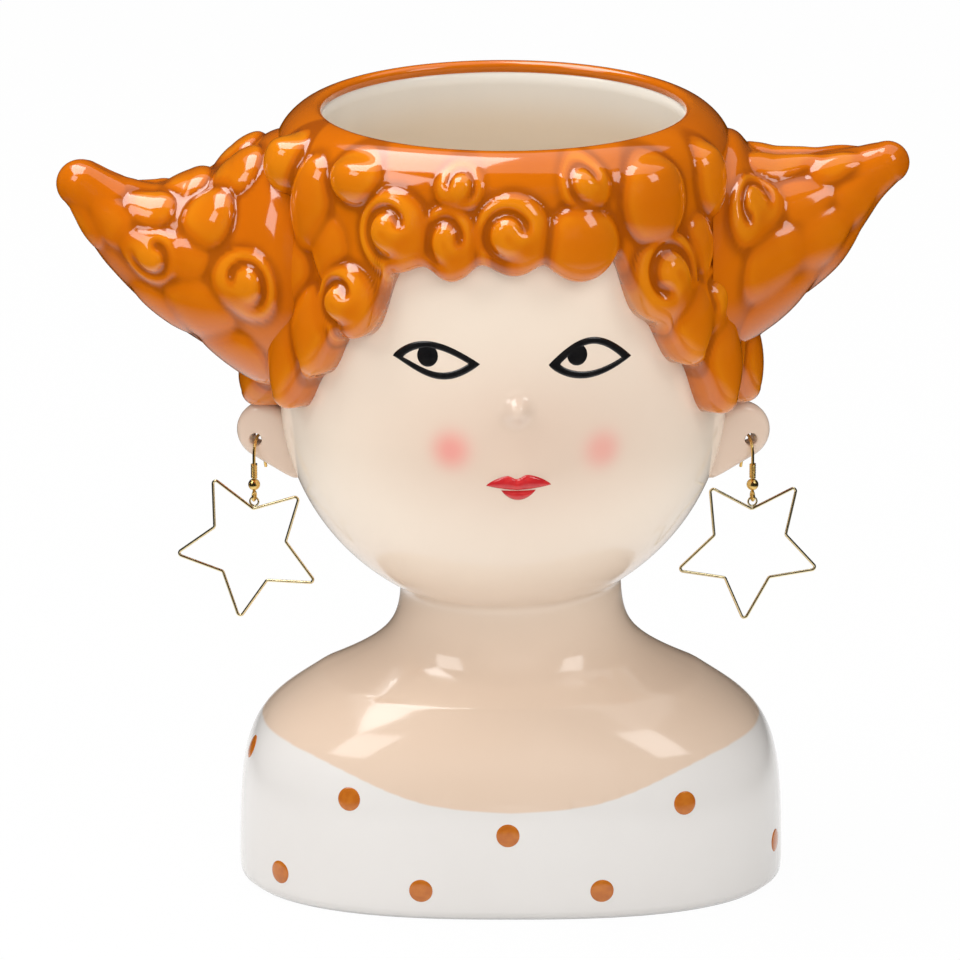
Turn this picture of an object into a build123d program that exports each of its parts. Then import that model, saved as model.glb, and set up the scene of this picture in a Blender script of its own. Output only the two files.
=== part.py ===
"""A glazed head planter: hollow bust, curled hair with two horn buns, pierced ears, star earrings.

Millimetres. +Z is up, the face looks along -Y, and the origin is the middle of the foot.
Left and right are the viewer's, so left is -X.
"""
import math
import os

from build123d import *

# Bust, neck and foot
bust_width = 142.0
bust_depth = 100.0
bust_squareness = 2.5
shoulder_height = 54.0
shoulder_roll = 7.2
neck_sweep = 4.6
neck_diameter = 56.6
foot_round = 2.5
foot_inset = 1.2
wall = 5.0
floor_thickness = 6.0

# Head: a ball below, tapering straight to the mouth above
total_height = 205.0
head_diameter = 116.0
head_centre_height = 129.0
crown_taper = 5.0
head_lean = -2.0
lip_chamfer = 1.4

# Nose and lips
nose_radius = 3.0
nose_height = 139.0
mouth_height = 119.0
mouth_width = 15.0
lip_radius = 3.0
face_turn = 3.5
relief = 1.4

# Hair sheath
hair_thickness = 6.0
hair_taper = 3.5
hair_top_drop = 1.4
hair_top_chamfer = 5.5
fringe_share = 0.63
fringe_half_width = 26.0
temple_share = 0.30
temple_half_width = 41.0
side_lock_height = 127.5
side_lock_half_width = 52.0
nape_height = 100.0
nape_half_width = 34.0
behind_ear = 10.0
curl_sink = 0.55
curl_foot_depth = 5.0

# Curls round the face: azimuth from the face, share of the crown's height, radius
face_curls = (
    (-67, 0.87, 8.2),
    (-55, 0.77, 9.8),
    (-27.5, 0.73, 10.6),
    (-13.7, 0.72, 8.6),
    (2.1, 0.74, 10.4),
    (19.1, 0.70, 10.2),
    (40.2, 0.82, 11.0),
    (62.6, 0.83, 8.0),
    (42.5, 0.54, 10.6),
    (-40.5, 0.46, 9.4),
    (-48, 0.24, 7.0),
    (53, 0.27, 7.5),
    (-61, 0.12, 7.5),
    (63, 0.10, 7.0),
)

# Curls on the back of the head: share of the crown's height, radius, half of the angle that the row spans
back_rows = (
    (0.74, 13.0, 45),
    (0.41, 13.0, 23),
    (0.09, 13.0, 45),
)
back_curl_step = 45.0

# Horn buns: reach from the head's axis, rise above the root, and radius of the knee and the tip ball
bun_root_reach = 50.0
bun_root_share = 0.434
bun_root_radius = 33.0
bun_seat_clear = 2.0
left_knee_reach = 94.0
left_knee_rise = 6.5
left_knee_radius = 17.0
left_tip_reach = 109.2
left_tip_rise = 22.5
left_tip_radius = 6.5
right_knee_reach = 80.0
right_knee_rise = 13.0
right_knee_radius = 18.0
right_tip_reach = 100.2
right_tip_rise = 28.0
right_tip_radius = 5.5

# Ears
ear_reach = 61.5
ear_height = 118.2
ear_radius = 7.6
ear_thickness = 6.4
ear_chamfer = 1.4
ear_root_reach = 53.0
ear_root_height = 109.0
ear_root_radius = 3.0
ear_turn = 15.0
ear_hole = 3.2
ear_hole_reach = 63.5
ear_hole_height = 116.2

# Ear wires, windings and beads
hook_wire = 0.8
hook_arch_radius = 4.6
hook_clearance = 0.1
hook_tail_bend = 8.0
hook_tail_turn = 25.0
hook_tail_length = 2.5
shank_length = 2.05
coil_wire = 0.45
coil_turns = 4
coil_pitch = 0.92
coil_clearance = 0.12
bead_diameter = 3.1
bead_clearance = 0.05
loop_radius = 1.1
link_clearance = 0.1

# Stars and their eyelets
star_wire = 0.75
star_tip_radius = 20.1
star_notch_radius = 10.2
star_points = 5
star_bend = 0.8
eyelet_wire = 0.5
eyelet_radius = 1.15
eyelet_gap = 0.02
left_star_tilt = 7.5
right_star_tilt = 3.7

# Round forms are turned in straight bands, and fine wires are drawn many-sided
bust_stations = 11
hollow_stations = 6
head_bands = 9
hollow_bands = 4
ball_bands = 6
curl_bands = 3
ball_flat_angle = 75.0
chin_angle = -75.0
circle_power = 2.0
oval_points = 24
wire_sides = 6

os.makedirs("parts", exist_ok=True)

head_radius = head_diameter / 2
neck_radius = neck_diameter / 2
neck_top = head_centre_height - math.sqrt(head_radius**2 - neck_radius**2) + wall / 2
inner_radius = head_radius - wall
hair_radius = head_radius + hair_thickness
hair_top = total_height - hair_top_drop
bun_seat_reach = hair_radius + bun_seat_clear
head_plane = Plane(origin=(head_lean, 0, 0), x_dir=(1, 0, 0), z_dir=(0, -1, 0))


def span_at(height, wide, narrow, drop_height):
    """Half span of the bust at a height: full below the shoulder, rolling over into the neck."""
    softness = shoulder_roll if height < drop_height else neck_sweep
    share = 1 / (1 + math.exp((height - drop_height) / softness))
    return narrow + (wide - narrow) * share


def oval(height, inset, drop):
    """Points of the bust's plan at a height: a rounded oval below, a circle at the neck."""
    half_width = span_at(height, bust_width / 2, neck_radius, shoulder_height - drop) - inset
    half_depth = span_at(height, bust_depth / 2, neck_radius, shoulder_height - drop) - inset
    power = span_at(height, bust_squareness, circle_power, shoulder_height - drop)
    points = []
    for step in range(oval_points):
        turn = 2 * math.pi * step / oval_points
        across = abs(math.cos(turn)) / half_width
        along = abs(math.sin(turn)) / half_depth
        radius = (across**power + along**power) ** (-1 / power)
        points.append((radius * math.cos(turn), radius * math.sin(turn)))
    return points


def crown_height(share):
    """Height at a share of the way from the head's middle up to the mouth."""
    return head_centre_height + share * (total_height - head_centre_height)


def cone_radius_at(height, radius, taper):
    """Radius at a height of the cone that is tangent to a ball round the head's centre."""
    slope = math.radians(taper)
    return radius / math.cos(slope) - (height - head_centre_height) * math.tan(slope)


def head_radius_at(height):
    """Radius of the head's outer face at a height."""
    if height > head_centre_height + head_radius * math.sin(math.radians(crown_taper)):
        return cone_radius_at(height, head_radius, crown_taper)
    return math.sqrt(head_radius**2 - (height - head_centre_height) ** 2)


def arc_corners(radius, start, end, height, bands):
    """Corners, as reach and height, of straight bands drawn along an arc about an axis."""
    angles = [math.radians(start + (end - start) * band / bands) for band in range(bands + 1)]
    return [(radius * math.cos(angle), height + radius * math.sin(angle)) for angle in angles]


def turned(corners):
    """Solid turned about the Z axis from the corners of its half section."""
    return revolve(Plane.XZ * make_face(Polyline(*corners, close=True)), axis=Axis.Z)


def head_form(radius, taper, top, bands):
    """Solid about the head's axis: a ball, and the cone that is tangent to it, cut flat."""
    ball_side = arc_corners(radius, chin_angle, taper, head_centre_height, bands)
    rim = (cone_radius_at(top, radius, taper), top)
    return Pos(head_lean, 0, 0) * turned([(0, ball_side[0][1]), *ball_side, rim, (0, top)])


def ball(radius):
    """Ball turned about the Z axis, flat at its poles."""
    side = arc_corners(radius, -ball_flat_angle, ball_flat_angle, 0, ball_bands)
    return turned([(0, side[0][1]), *side, (0, side[-1][1])])


def on_head(azimuth, height, radius):
    """Point at a radius from the head's axis; azimuth 0 is the face and +90 the viewer's right."""
    turn = math.radians(azimuth)
    return (head_lean + radius * math.sin(turn), -radius * math.cos(turn), height)


def curl_on_head(azimuth, share, radius):
    """Cap of a ball that stands out of the hair's face, with its flat foot inside the hair."""
    height = crown_height(share)
    seat = cone_radius_at(height, hair_radius, hair_taper) - curl_sink * radius
    centre = Vector(on_head(azimuth, height, seat))
    outward = Plane(centre, z_dir=centre - Vector(head_lean, 0, height))
    foot_angle = math.degrees(math.asin(curl_foot_depth / radius - curl_sink))
    side = arc_corners(radius, -foot_angle, ball_flat_angle, 0, curl_bands)
    return outward * turned([(0, side[0][1]), *side, (0, side[-1][1])])


def horn_point(side, knot):
    """Middle of a bun's knot."""
    reach, height, radius = knot
    return Vector(head_lean + side * reach, 0, height)


def horn_lean(side, start, end):
    """Heading of a bun's cone from one knot to the next, and how far its side leans to that line."""
    way = horn_point(side, end) - horn_point(side, start)
    return way.normalized(), math.asin((start[2] - end[2]) / way.length)


def horn_cone(side, start, end, before, after):
    """Cone that is tangent to the balls at two knots, run on before the first and after the last."""
    heading, lean = horn_lean(side, start, end)
    length = (horn_point(side, end) - horn_point(side, start)).length
    wide = (start[2] + before * math.sin(lean)) / math.cos(lean)
    narrow = (end[2] - after * math.sin(lean)) / math.cos(lean)
    foot = Plane(horn_point(side, start) - heading * before, z_dir=heading)
    upright = (Align.CENTER, Align.CENTER, Align.MIN)
    return foot * Cone(wide, narrow, before + length + after, align=upright)


def mitre_plane(side, root, knee, tip):
    """Plane in which a bun's two cones meet, both being tangent to the ball at the knee."""
    corners = []
    for turn in (-1, 1):
        normals = []
        for start, end in ((root, knee), (knee, tip)):
            heading, lean = horn_lean(side, start, end)
            across = Vector(-heading.Z, 0, heading.X) * turn
            normals.append(heading * math.sin(lean) + across * math.cos(lean))
        first, second = normals
        corners.append(horn_point(side, knee) + (first + second) * (knee[2] / (1 + first.dot(second))))
    low, high = corners
    depthwise = Vector(0, 1, 0)
    onward = (high - low).cross(depthwise)
    if onward.dot(horn_lean(side, knee, tip)[0]) < 0:
        onward = onward * -1
    return Plane(low, x_dir=depthwise, z_dir=onward)


# Outer form of the vessel, before it is hollowed
skull = head_form(head_radius, crown_taper, total_height, head_bands)
skull_hollow = head_form(inner_radius, crown_taper, total_height, hollow_bands)
with BuildPart() as outer_form:
    with BuildSketch(Plane.XY):
        with BuildLine():
            Spline(*oval(0, foot_inset, 0), periodic=True)
        make_face()
    for station in range(bust_stations):
        level = foot_round + (neck_top - foot_round) * station / (bust_stations - 1)
        with BuildSketch(Plane.XY.offset(level)):
            with BuildLine():
                Spline(*oval(level, 0, 0), periodic=True)
            make_face()
    loft(ruled=True)
    add(skull)

# Hollow of the vessel, one wall inside the outer form
hollow_join = neck_top + wall
with BuildPart() as hollow:
    for station in range(hollow_stations):
        level = floor_thickness + (hollow_join - floor_thickness) * station / (hollow_stations - 1)
        with BuildSketch(Plane.XY.offset(level)):
            with BuildLine():
                Spline(*oval(level, wall, wall), periodic=True)
            make_face()
    loft(ruled=True)
    add(skull_hollow)

# The vessel, with its nose and lips
nose_seat = head_radius_at(nose_height) + relief - nose_radius / 2
lip_seat = head_radius_at(mouth_height) + relief - lip_radius
lip_step = math.degrees(mouth_width / 4 / head_radius)
nose = Pos(on_head(face_turn, nose_height, nose_seat)) * ball(nose_radius)
lips = [
    Pos(on_head(face_turn + turn, mouth_height + rise, lip_seat)) * ball(lip_radius)
    for turn, rise in ((-lip_step, lip_radius / 4), (lip_step, lip_radius / 4), (0, -lip_radius / 2))
]
with BuildPart() as head_and_bust:
    add(outer_form.part)
    add(hollow.part, mode=Mode.SUBTRACT)
    chamfer(head_and_bust.edges().group_by(Axis.Z)[-1], lip_chamfer)
    add(nose)
    add(lips)
head_and_bust.part.label = "head_and_bust"
export_step(head_and_bust.part, "parts/head_and_bust.step")

# All the hair as one form: a sheath round the skull, the buns on its sides, and the curls
bun_root_height = crown_height(bun_root_share)
left_knots = (
    (bun_root_reach, bun_root_height, bun_root_radius),
    (left_knee_reach, bun_root_height + left_knee_rise, left_knee_radius),
    (left_tip_reach, bun_root_height + left_tip_rise, left_tip_radius),
)
right_knots = (
    (bun_root_reach, bun_root_height, bun_root_radius),
    (right_knee_reach, bun_root_height + right_knee_rise, right_knee_radius),
    (right_tip_reach, bun_root_height + right_tip_rise, right_tip_radius),
)
fringe_height = crown_height(fringe_share)
temple_height = crown_height(temple_share)
horns = []
for side, (root, knee, tip) in ((-1, left_knots), (1, right_knots)):
    mitre = mitre_plane(side, root, knee, tip)
    knee_radius = knee[2]
    horns.append(split(horn_cone(side, root, knee, 0, knee_radius), bisect_by=mitre, keep=Keep.BOTTOM))
    horns.append(split(horn_cone(side, knee, tip, knee_radius, 0), bisect_by=mitre, keep=Keep.TOP))
    horns.append(Pos(horn_point(side, tip)) * ball(tip[2]))
curls = [curl_on_head(*curl) for curl in face_curls]
for share, radius, half_angle in back_rows:
    steps = max(1, round(2 * half_angle / back_curl_step))
    for index in range(steps + 1):
        azimuth = 180 + half_angle * (2 * index / steps - 1)
        curls.append(curl_on_head(azimuth, share, radius))
sheath = head_form(hair_radius, hair_taper, hair_top, head_bands)
with BuildPart() as hair:
    add(sheath)
    chamfer(hair.edges().group_by(Axis.Z)[-1], hair_top_chamfer)
    # The face stays open below the fringe and between the side locks
    with BuildSketch(head_plane):
        with BuildLine():
            Polyline(
                (-side_lock_half_width, 0),
                (-side_lock_half_width, side_lock_height),
                (-temple_half_width, temple_height),
                (-fringe_half_width, fringe_height),
                (fringe_half_width, fringe_height),
                (temple_half_width, temple_height),
                (side_lock_half_width, side_lock_height),
                (side_lock_half_width, 0),
                close=True,
            )
        make_face()
    extrude(amount=2 * hair_radius, mode=Mode.SUBTRACT)
    # The side locks end above the ears, and behind them the hair runs down to the nape
    with BuildSketch(head_plane.offset(-behind_ear)):
        with Locations((0, side_lock_height / 2)):
            Rectangle(4 * hair_radius, side_lock_height)
    extrude(amount=4 * hair_radius, mode=Mode.SUBTRACT)
    with BuildSketch(head_plane):
        with BuildLine():
            Polyline(
                (-2 * hair_radius, 0),
                (-2 * hair_radius, side_lock_height),
                (-side_lock_half_width, side_lock_height),
                (-nape_half_width, nape_height),
                (nape_half_width, nape_height),
                (side_lock_half_width, side_lock_height),
                (2 * hair_radius, side_lock_height),
                (2 * hair_radius, 0),
                close=True,
            )
        make_face()
    extrude(amount=-2 * hair_radius, mode=Mode.SUBTRACT)
    add(horns)
    add(outer_form.part, mode=Mode.SUBTRACT)
    for curl in curls:
        add(curl)

# The buns are luted to the hair on a flat face each
left_seat = Plane.YZ.offset(head_lean - bun_seat_reach)
right_seat = Plane.YZ.offset(head_lean + bun_seat_reach)
with BuildPart() as hair_cap:
    add(hair.part)
    split(bisect_by=left_seat, keep=Keep.TOP)
    split(bisect_by=right_seat, keep=Keep.BOTTOM)
hair_cap.part.label = "hair_cap"
export_step(hair_cap.part, "parts/hair_cap.step")

with BuildPart() as left_horn:
    add(hair.part)
    split(bisect_by=left_seat, keep=Keep.BOTTOM)
left_horn.part.label = "left_bun"
export_step(left_horn.part, "parts/left_bun.step")

with BuildPart() as right_horn:
    add(hair.part)
    split(bisect_by=right_seat, keep=Keep.TOP)
right_horn.part.label = "right_bun"
export_step(right_horn.part, "parts/right_bun.step")

# Heights of an earring, from the pierced ear down
arch_inside = hook_arch_radius - hook_wire / 2 - hook_clearance
arch_height = ear_hole_height - ear_hole / 2 - math.sqrt(arch_inside**2 - (ear_thickness / 2) ** 2)
coil_radius = hook_wire / 2 + coil_clearance + coil_wire / 2
coil_top = arch_height - shank_length
coil_foot = coil_top - coil_turns * coil_pitch
bead_height = coil_foot - coil_wire / 2 - bead_clearance - bead_diameter / 2
loop_top = bead_height - bead_diameter / 2 - bead_clearance - hook_wire / 2
loop_height = loop_top - loop_radius
eyelet_height = (
    loop_height - loop_radius + (hook_wire + eyelet_wire) / 2 + link_clearance - eyelet_radius
)
notch_slope = math.atan2(
    star_tip_radius * math.cos(math.pi / star_points) - star_notch_radius,
    star_tip_radius * math.sin(math.pi / star_points),
)
star_hang = (eyelet_radius + (eyelet_wire + star_wire) / 2 + eyelet_gap) / math.cos(notch_slope)


def star_outline(tilt):
    """Corners of a star that hangs from a notch, about its eyelet, with its foot turned to -x."""
    corners = []
    for step in range(2 * star_points):
        radius = star_tip_radius if step % 2 else star_notch_radius
        turn = math.pi / 2 + math.pi * step / star_points
        across = radius * math.cos(turn)
        up = radius * math.sin(turn) - star_notch_radius - star_hang
        lean = -math.radians(tilt)
        corners.append(
            (across * math.cos(lean) - up * math.sin(lean), across * math.sin(lean) + up * math.cos(lean))
        )
    return corners


def coil_point(centre, quarter):
    """Point and direction of the winding after a number of quarter turns from its foot."""
    turn = math.pi / 2 * quarter
    rise = coil_pitch / (2 * math.pi)
    point = centre + Vector(coil_radius * math.cos(turn), coil_radius * math.sin(turn), rise * turn)
    heading = Vector(-coil_radius * math.sin(turn), coil_radius * math.cos(turn), rise)
    return point, heading.normalized()


def biarc_middle(start, start_heading, end, end_heading):
    """Where two tangent arcs meet on the way from one point and heading to another."""
    chord = end - start
    both = start_heading + end_heading
    along = chord.dot(both)
    bend = 2 * (1 - start_heading.dot(end_heading))
    reach = (-along + math.sqrt(along**2 + bend * chord.dot(chord))) / bend
    return (start + start_heading * reach + end - end_heading * reach) / 2


def least_gap(centre):
    """Least gap between one turn of the winding and the next, measured on points along it."""
    steps = 24
    points = [coil_point(centre, 4 * step / steps)[0] for step in range(coil_turns * steps + 1)]
    apart = [
        (points[first] - points[second]).length
        for first in range(len(points))
        for second in range(first + steps // 2, len(points))
    ]
    return min(apart) - coil_wire


for name, side, star_tilt in (("left", -1, left_star_tilt), ("right", 1, right_star_tilt)):
    turn = math.radians(ear_turn)
    outward = Vector(side * math.cos(turn), math.sin(turn), 0)
    forward = Vector(side * math.sin(turn), -math.cos(turn), 0)
    sideways = Vector(math.cos(turn), side * math.sin(turn), 0)
    upward = Vector(0, 0, 1)
    hole = Vector(head_lean + side * ear_hole_reach, 0, ear_hole_height)
    shank = Vector(hole.X, hole.Y, 0) + forward * hook_arch_radius
    ear_plane = Plane(hole, x_dir=outward, z_dir=outward.cross(upward))
    hook_plane = Plane(Vector(hole.X, hole.Y, 0), x_dir=forward, z_dir=forward.cross(upward))
    loop_centre = shank + upward * loop_height
    eyelet_centre = shank + upward * eyelet_height
    star_plane = Plane(eyelet_centre, x_dir=sideways, z_dir=sideways.cross(upward))

    # Ear: a round tab that tapers into the cheek, pierced for the hook
    with BuildPart() as ear:
        with BuildSketch(ear_plane):
            with Locations((ear_reach - ear_hole_reach, ear_height - ear_hole_height)):
                Circle(ear_radius)
            with Locations((ear_root_reach - ear_hole_reach, ear_root_height - ear_hole_height)):
                Circle(ear_root_radius)
            make_hull()
        extrude(amount=ear_thickness / 2, both=True)
        chamfer(ear.faces().filter_by(Axis(hole, forward)).edges(), ear_chamfer)
        with Locations(ear_plane):
            Hole(ear_hole / 2)
        add(outer_form.part, mode=Mode.SUBTRACT)
    ear.part.label = f"{name}_ear"
    export_step(ear.part, f"parts/{name}_ear.step")

    # Ear wire: bottom loop, straight shank, arch through the ear, flared tail
    with BuildPart() as ear_wire:
        with BuildLine(hook_plane) as hook_path:
            straight = Line((hook_arch_radius, loop_top), (hook_arch_radius, arch_height))
            arch = JernArc(straight @ 1, straight % 1, hook_arch_radius, 180)
            flare = JernArc(arch @ 1, arch % 1, hook_tail_bend, -hook_tail_turn)
            Line(flare @ 1, flare @ 1 + (flare % 1) * hook_tail_length)
        with BuildSketch(Plane(shank + upward * loop_top, x_dir=forward, z_dir=upward)):
            RegularPolygon(hook_wire / 2, wire_sides)
        sweep(path=hook_path.wires()[0])
        with BuildSketch(Plane(loop_centre + upward * loop_radius, x_dir=upward, z_dir=forward)):
            RegularPolygon(hook_wire / 2, wire_sides)
        revolve(axis=Axis(loop_centre, sideways))
    ear_wire.part.label = f"{name}_ear_wire"
    export_step(ear_wire.part, f"parts/{name}_ear_wire.step")

    # Winding: one unbroken wire round the shank, on biarcs of a quarter turn, straight at its ends
    coil_centre = shank + upward * coil_foot
    with BuildPart() as coil:
        with BuildLine() as coil_path:
            foot, foot_heading = coil_point(coil_centre, 0)
            head, head_heading = coil_point(coil_centre, 4 * coil_turns)
            lead_in = Line(foot - foot_heading * coil_wire, foot)
            for quarter in range(4 * coil_turns):
                start, start_heading = coil_point(coil_centre, quarter)
                end, end_heading = coil_point(coil_centre, quarter + 1)
                middle = biarc_middle(start, start_heading, end, end_heading)
                first_arc = TangentArc(start, middle, tangent=start_heading)
                TangentArc(middle, end, tangent=first_arc % 1)
            Line(head, head + head_heading * coil_wire)
        with BuildSketch(Plane(lead_in @ 0, x_dir=upward, z_dir=foot_heading)):
            RegularPolygon(coil_wire / 2, wire_sides)
        sweep(path=coil_path.wires()[0])
    coil.part.label = f"{name}_coil"
    export_step(coil.part, f"parts/{name}_coil.step")
    print(name, "winding: least gap between turns", round(least_gap(coil_centre), 3))

    # Bead, threaded on the shank
    bead_ball = Pos(shank + upward * bead_height) * ball(bead_diameter / 2)
    with BuildPart() as bead:
        add(bead_ball)
        with Locations(shank + upward * bead_height):
            Hole(hook_wire / 2 + bead_clearance)
    bead.part.label = f"{name}_bead"
    export_step(bead.part, f"parts/{name}_bead.step")

    # Star of one bent wire, hung from a notch
    with BuildPart() as star:
        with BuildLine(star_plane) as star_path:
            star_line = FilletPolyline(*star_outline(star_tilt), radius=star_bend, close=True)
        with BuildSketch(Plane(star_line @ 0, z_dir=star_line % 0)):
            RegularPolygon(star_wire / 2, wire_sides)
        sweep(path=star_path.wires()[0])
    star.part.label = f"{name}_star"
    export_step(star.part, f"parts/{name}_star.step")

    # Eyelet, brazed against both sides of the notch and hung in the loop
    with BuildPart() as eyelet:
        with BuildSketch(Plane(eyelet_centre + upward * eyelet_radius, x_dir=upward, z_dir=sideways)):
            RegularPolygon(eyelet_wire / 2, wire_sides)
        revolve(axis=Axis(eyelet_centre, forward))
    eyelet.part.label = f"{name}_star_eyelet"
    export_step(eyelet.part, f"parts/{name}_star_eyelet.step")
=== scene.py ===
"""Dress a packed head planter: glazed vessel, curled hair, painted face, dotted dress and gold earrings.

Sizes are in millimetres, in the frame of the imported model, and become metres when a mesh is made.
Azimuth is measured about the head's axis: 0 is the way the face looks and +90 the viewer's right.
"""
from __future__ import annotations

import logging
import math
from dataclasses import dataclass, replace
from enum import Enum
from typing import ClassVar

import bmesh
import bpy
import numpy as np
from mathutils import Matrix, Vector

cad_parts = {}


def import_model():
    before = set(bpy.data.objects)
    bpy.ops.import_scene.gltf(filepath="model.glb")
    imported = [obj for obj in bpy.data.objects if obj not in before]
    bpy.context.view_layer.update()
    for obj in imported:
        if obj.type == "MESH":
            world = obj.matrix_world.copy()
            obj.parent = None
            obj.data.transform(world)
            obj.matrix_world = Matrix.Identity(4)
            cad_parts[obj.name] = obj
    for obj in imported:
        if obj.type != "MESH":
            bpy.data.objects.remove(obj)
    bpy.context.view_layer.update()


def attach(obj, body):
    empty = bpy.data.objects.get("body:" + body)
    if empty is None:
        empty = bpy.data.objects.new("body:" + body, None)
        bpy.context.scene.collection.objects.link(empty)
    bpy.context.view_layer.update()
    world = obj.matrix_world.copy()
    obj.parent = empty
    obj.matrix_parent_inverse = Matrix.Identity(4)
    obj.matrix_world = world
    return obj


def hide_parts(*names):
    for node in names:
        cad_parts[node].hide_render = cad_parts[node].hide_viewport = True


MM = 0.001
IMAGE_SIDE = 960
GLAZE_IOR = 1.5
UP = (0.0, 0.0, 1.0)

Array = np.ndarray
Finish = bpy.types.Material
Piece = bpy.types.Object
Socket = bpy.types.NodeSocket
Colour = tuple[float, float, float]

log = logging.getLogger("head_planter")


def placed(name: str, data: bpy.types.ID) -> Piece:
    """Make an object of its data and link it to the scene."""
    made = bpy.data.objects.new(name, data)
    bpy.context.collection.objects.link(made)
    return made


@dataclass
class Shell:
    """Points in millimetres and the faces that join them."""

    points: Array
    faces: list[tuple[int, ...]]

    @staticmethod
    def joined(shells: list[Shell]) -> Shell:
        """Return several shells as one, each still closed by itself."""
        faces: list[tuple[int, ...]] = []
        start = 0
        for shell in shells:
            faces.extend(tuple(index + start for index in face) for face in shell.faces)
            start += len(shell.points)
        return Shell(np.vstack([shell.points for shell in shells]), faces)

    def to_object(self, name: str, finish: Finish | None = None, weld: bool = True) -> Piece:
        """Make a smooth mesh object at the origin, with faces that point outwards.

        Args:
            name: Name of the object and of its mesh.
            finish: Its material.
            weld: Whether doubled points are merged.

        Returns:
            The object, linked to the scene.
        """
        mesh = bpy.data.meshes.new(name)
        mesh.from_pydata((self.points * MM).tolist(), [], self.faces)
        work = bmesh.new()
        work.from_mesh(mesh)
        if weld:
            bmesh.ops.remove_doubles(work, verts=work.verts, dist=1e-7)
        bmesh.ops.recalc_face_normals(work, faces=work.faces)
        work.to_mesh(mesh)
        work.free()
        mesh.shade_smooth()
        if finish:
            mesh.materials.append(finish)
        return placed(name, mesh)


def grid_faces(rows: int, columns: int, wrap_rows: bool = False) -> list[tuple[int, ...]]:
    """Quads of a grid of points whose rows are closed rings.

    Args:
        rows: Number of rings.
        columns: Points on each ring.
        wrap_rows: Whether the last ring joins the first.

    Returns:
        The faces as tuples of point numbers.
    """
    last = rows if wrap_rows else rows - 1
    faces = []
    for row in range(last):
        here, there = row * columns, ((row + 1) % rows) * columns
        for column in range(columns):
            beside = (column + 1) % columns
            faces.append((here + column, here + beside, there + beside, there + column))
    return faces


def capped(rings: Array) -> Shell:
    """Close a stack of rings with a fan at each end.

    Args:
        rings: Array of shape (rings, points, 3).

    Returns:
        The closed shell.
    """
    rows, columns, _ = rings.shape
    points = np.vstack([rings.reshape(-1, 3), rings[0].mean(axis=0), rings[-1].mean(axis=0)])
    faces = grid_faces(rows, columns)
    foot, head = rows * columns, rows * columns + 1
    final = (rows - 1) * columns
    for column in range(columns):
        beside = (column + 1) % columns
        faces.append((foot, beside, column))
        faces.append((head, final + column, final + beside))
    return Shell(points, faces)


def looped(rings: Array) -> Shell:
    """Close a stack of rings by joining the last to the first."""
    rows, columns, _ = rings.shape
    return Shell(rings.reshape(-1, 3), grid_faces(rows, columns, wrap_rows=True))


def full_turn(count: int) -> Array:
    """Angles of a number of points round a circle, in radians."""
    return np.linspace(0, 2 * math.pi, count, endpoint=False)


def wrapped(degrees: Array) -> Array:
    """Bring angles to the half turn either side of 0."""
    return (degrees + 180) % 360 - 180


def ball(radii: tuple[float, float, float], centre: tuple[float, float, float], sides: int = 28) -> Shell:
    """Make an ellipsoid about a centre."""
    rise = np.linspace(-math.pi / 2, math.pi / 2, sides // 2 + 1)[1:-1]
    turns = full_turn(sides)
    rings = [[(math.cos(b) * math.cos(t), math.cos(b) * math.sin(t), math.sin(b)) for t in turns] for b in rise]
    shell = capped(np.array(rings))
    shell.points[-2:] = (0, 0, -1), (0, 0, 1)
    return Shell(shell.points * np.array(radii) + np.array(centre), shell.faces)


def smooth_step(low: float, high: float, value: Array) -> Array:
    """Rise smoothly from 0 at low to 1 at high."""
    share = np.clip((value - low) / (high - low), 0, 1)
    return share * share * (3 - 2 * share)


def store(made: Piece, name: str, values: Array) -> None:
    """Store one number for each point of a mesh as a named attribute."""
    attribute = made.data.attributes.new(name, "FLOAT", "POINT")
    attribute.data.foreach_set("value", np.ascontiguousarray(values, dtype=np.float32))


def points_of(mesh: bpy.types.Mesh) -> Array:
    """Read a mesh's points in millimetres."""
    flat = np.empty(len(mesh.vertices) * 3, dtype=np.float32)
    mesh.vertices.foreach_get("co", flat)
    return flat.reshape(-1, 3).astype(float) / MM


def baked(made: Piece) -> Piece:
    """Turn an object with modifiers into a plain mesh object of the same name.

    Args:
        made: The object, which is removed.

    Returns:
        The plain object.
    """
    graph = bpy.context.evaluated_depsgraph_get()
    mesh = bpy.data.meshes.new_from_object(made.evaluated_get(graph), depsgraph=graph)
    name, old = made.name, made.data
    bpy.data.objects.remove(made)
    (bpy.data.meshes if isinstance(old, bpy.types.Mesh) else bpy.data.curves).remove(old)
    mesh.name = name
    return placed(name, mesh)


class NodeTree:
    """A node tree that is built step by step."""

    def __init__(self, tree: bpy.types.NodeTree) -> None:
        """Take a tree to build on."""
        self.tree = tree

    def fill(self, socket: Socket, value: object) -> None:
        """Link an input to a socket, or set it to a value."""
        if isinstance(value, Socket):
            self.tree.links.new(value, socket)
        else:
            socket.default_value = value

    def add(self, kind: str, settings: dict[str, object] | None = None, **links: object) -> bpy.types.Node:
        """Add a node.

        Args:
            kind: Type of the node.
            settings: Its own settings.
            **links: Input names, with underscores for spaces, to a socket to link or a value to set.

        Returns:
            The node.
        """
        node = self.tree.nodes.new(kind)
        for key, value in (settings or {}).items():
            setattr(node, key, value)
        for key, value in links.items():
            self.fill(node.inputs[key.replace("_", " ")], value)
        return node

    def blend(self, share: object, first: bpy.types.Node, second: bpy.types.Node) -> bpy.types.Node:
        """Mix two shaders by a share, which is a socket or a number."""
        node = self.tree.nodes.new("ShaderNodeMixShader")
        for socket, value in zip(node.inputs, (share, first.outputs[0], second.outputs[0])):
            self.fill(socket, value)
        return node


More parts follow.
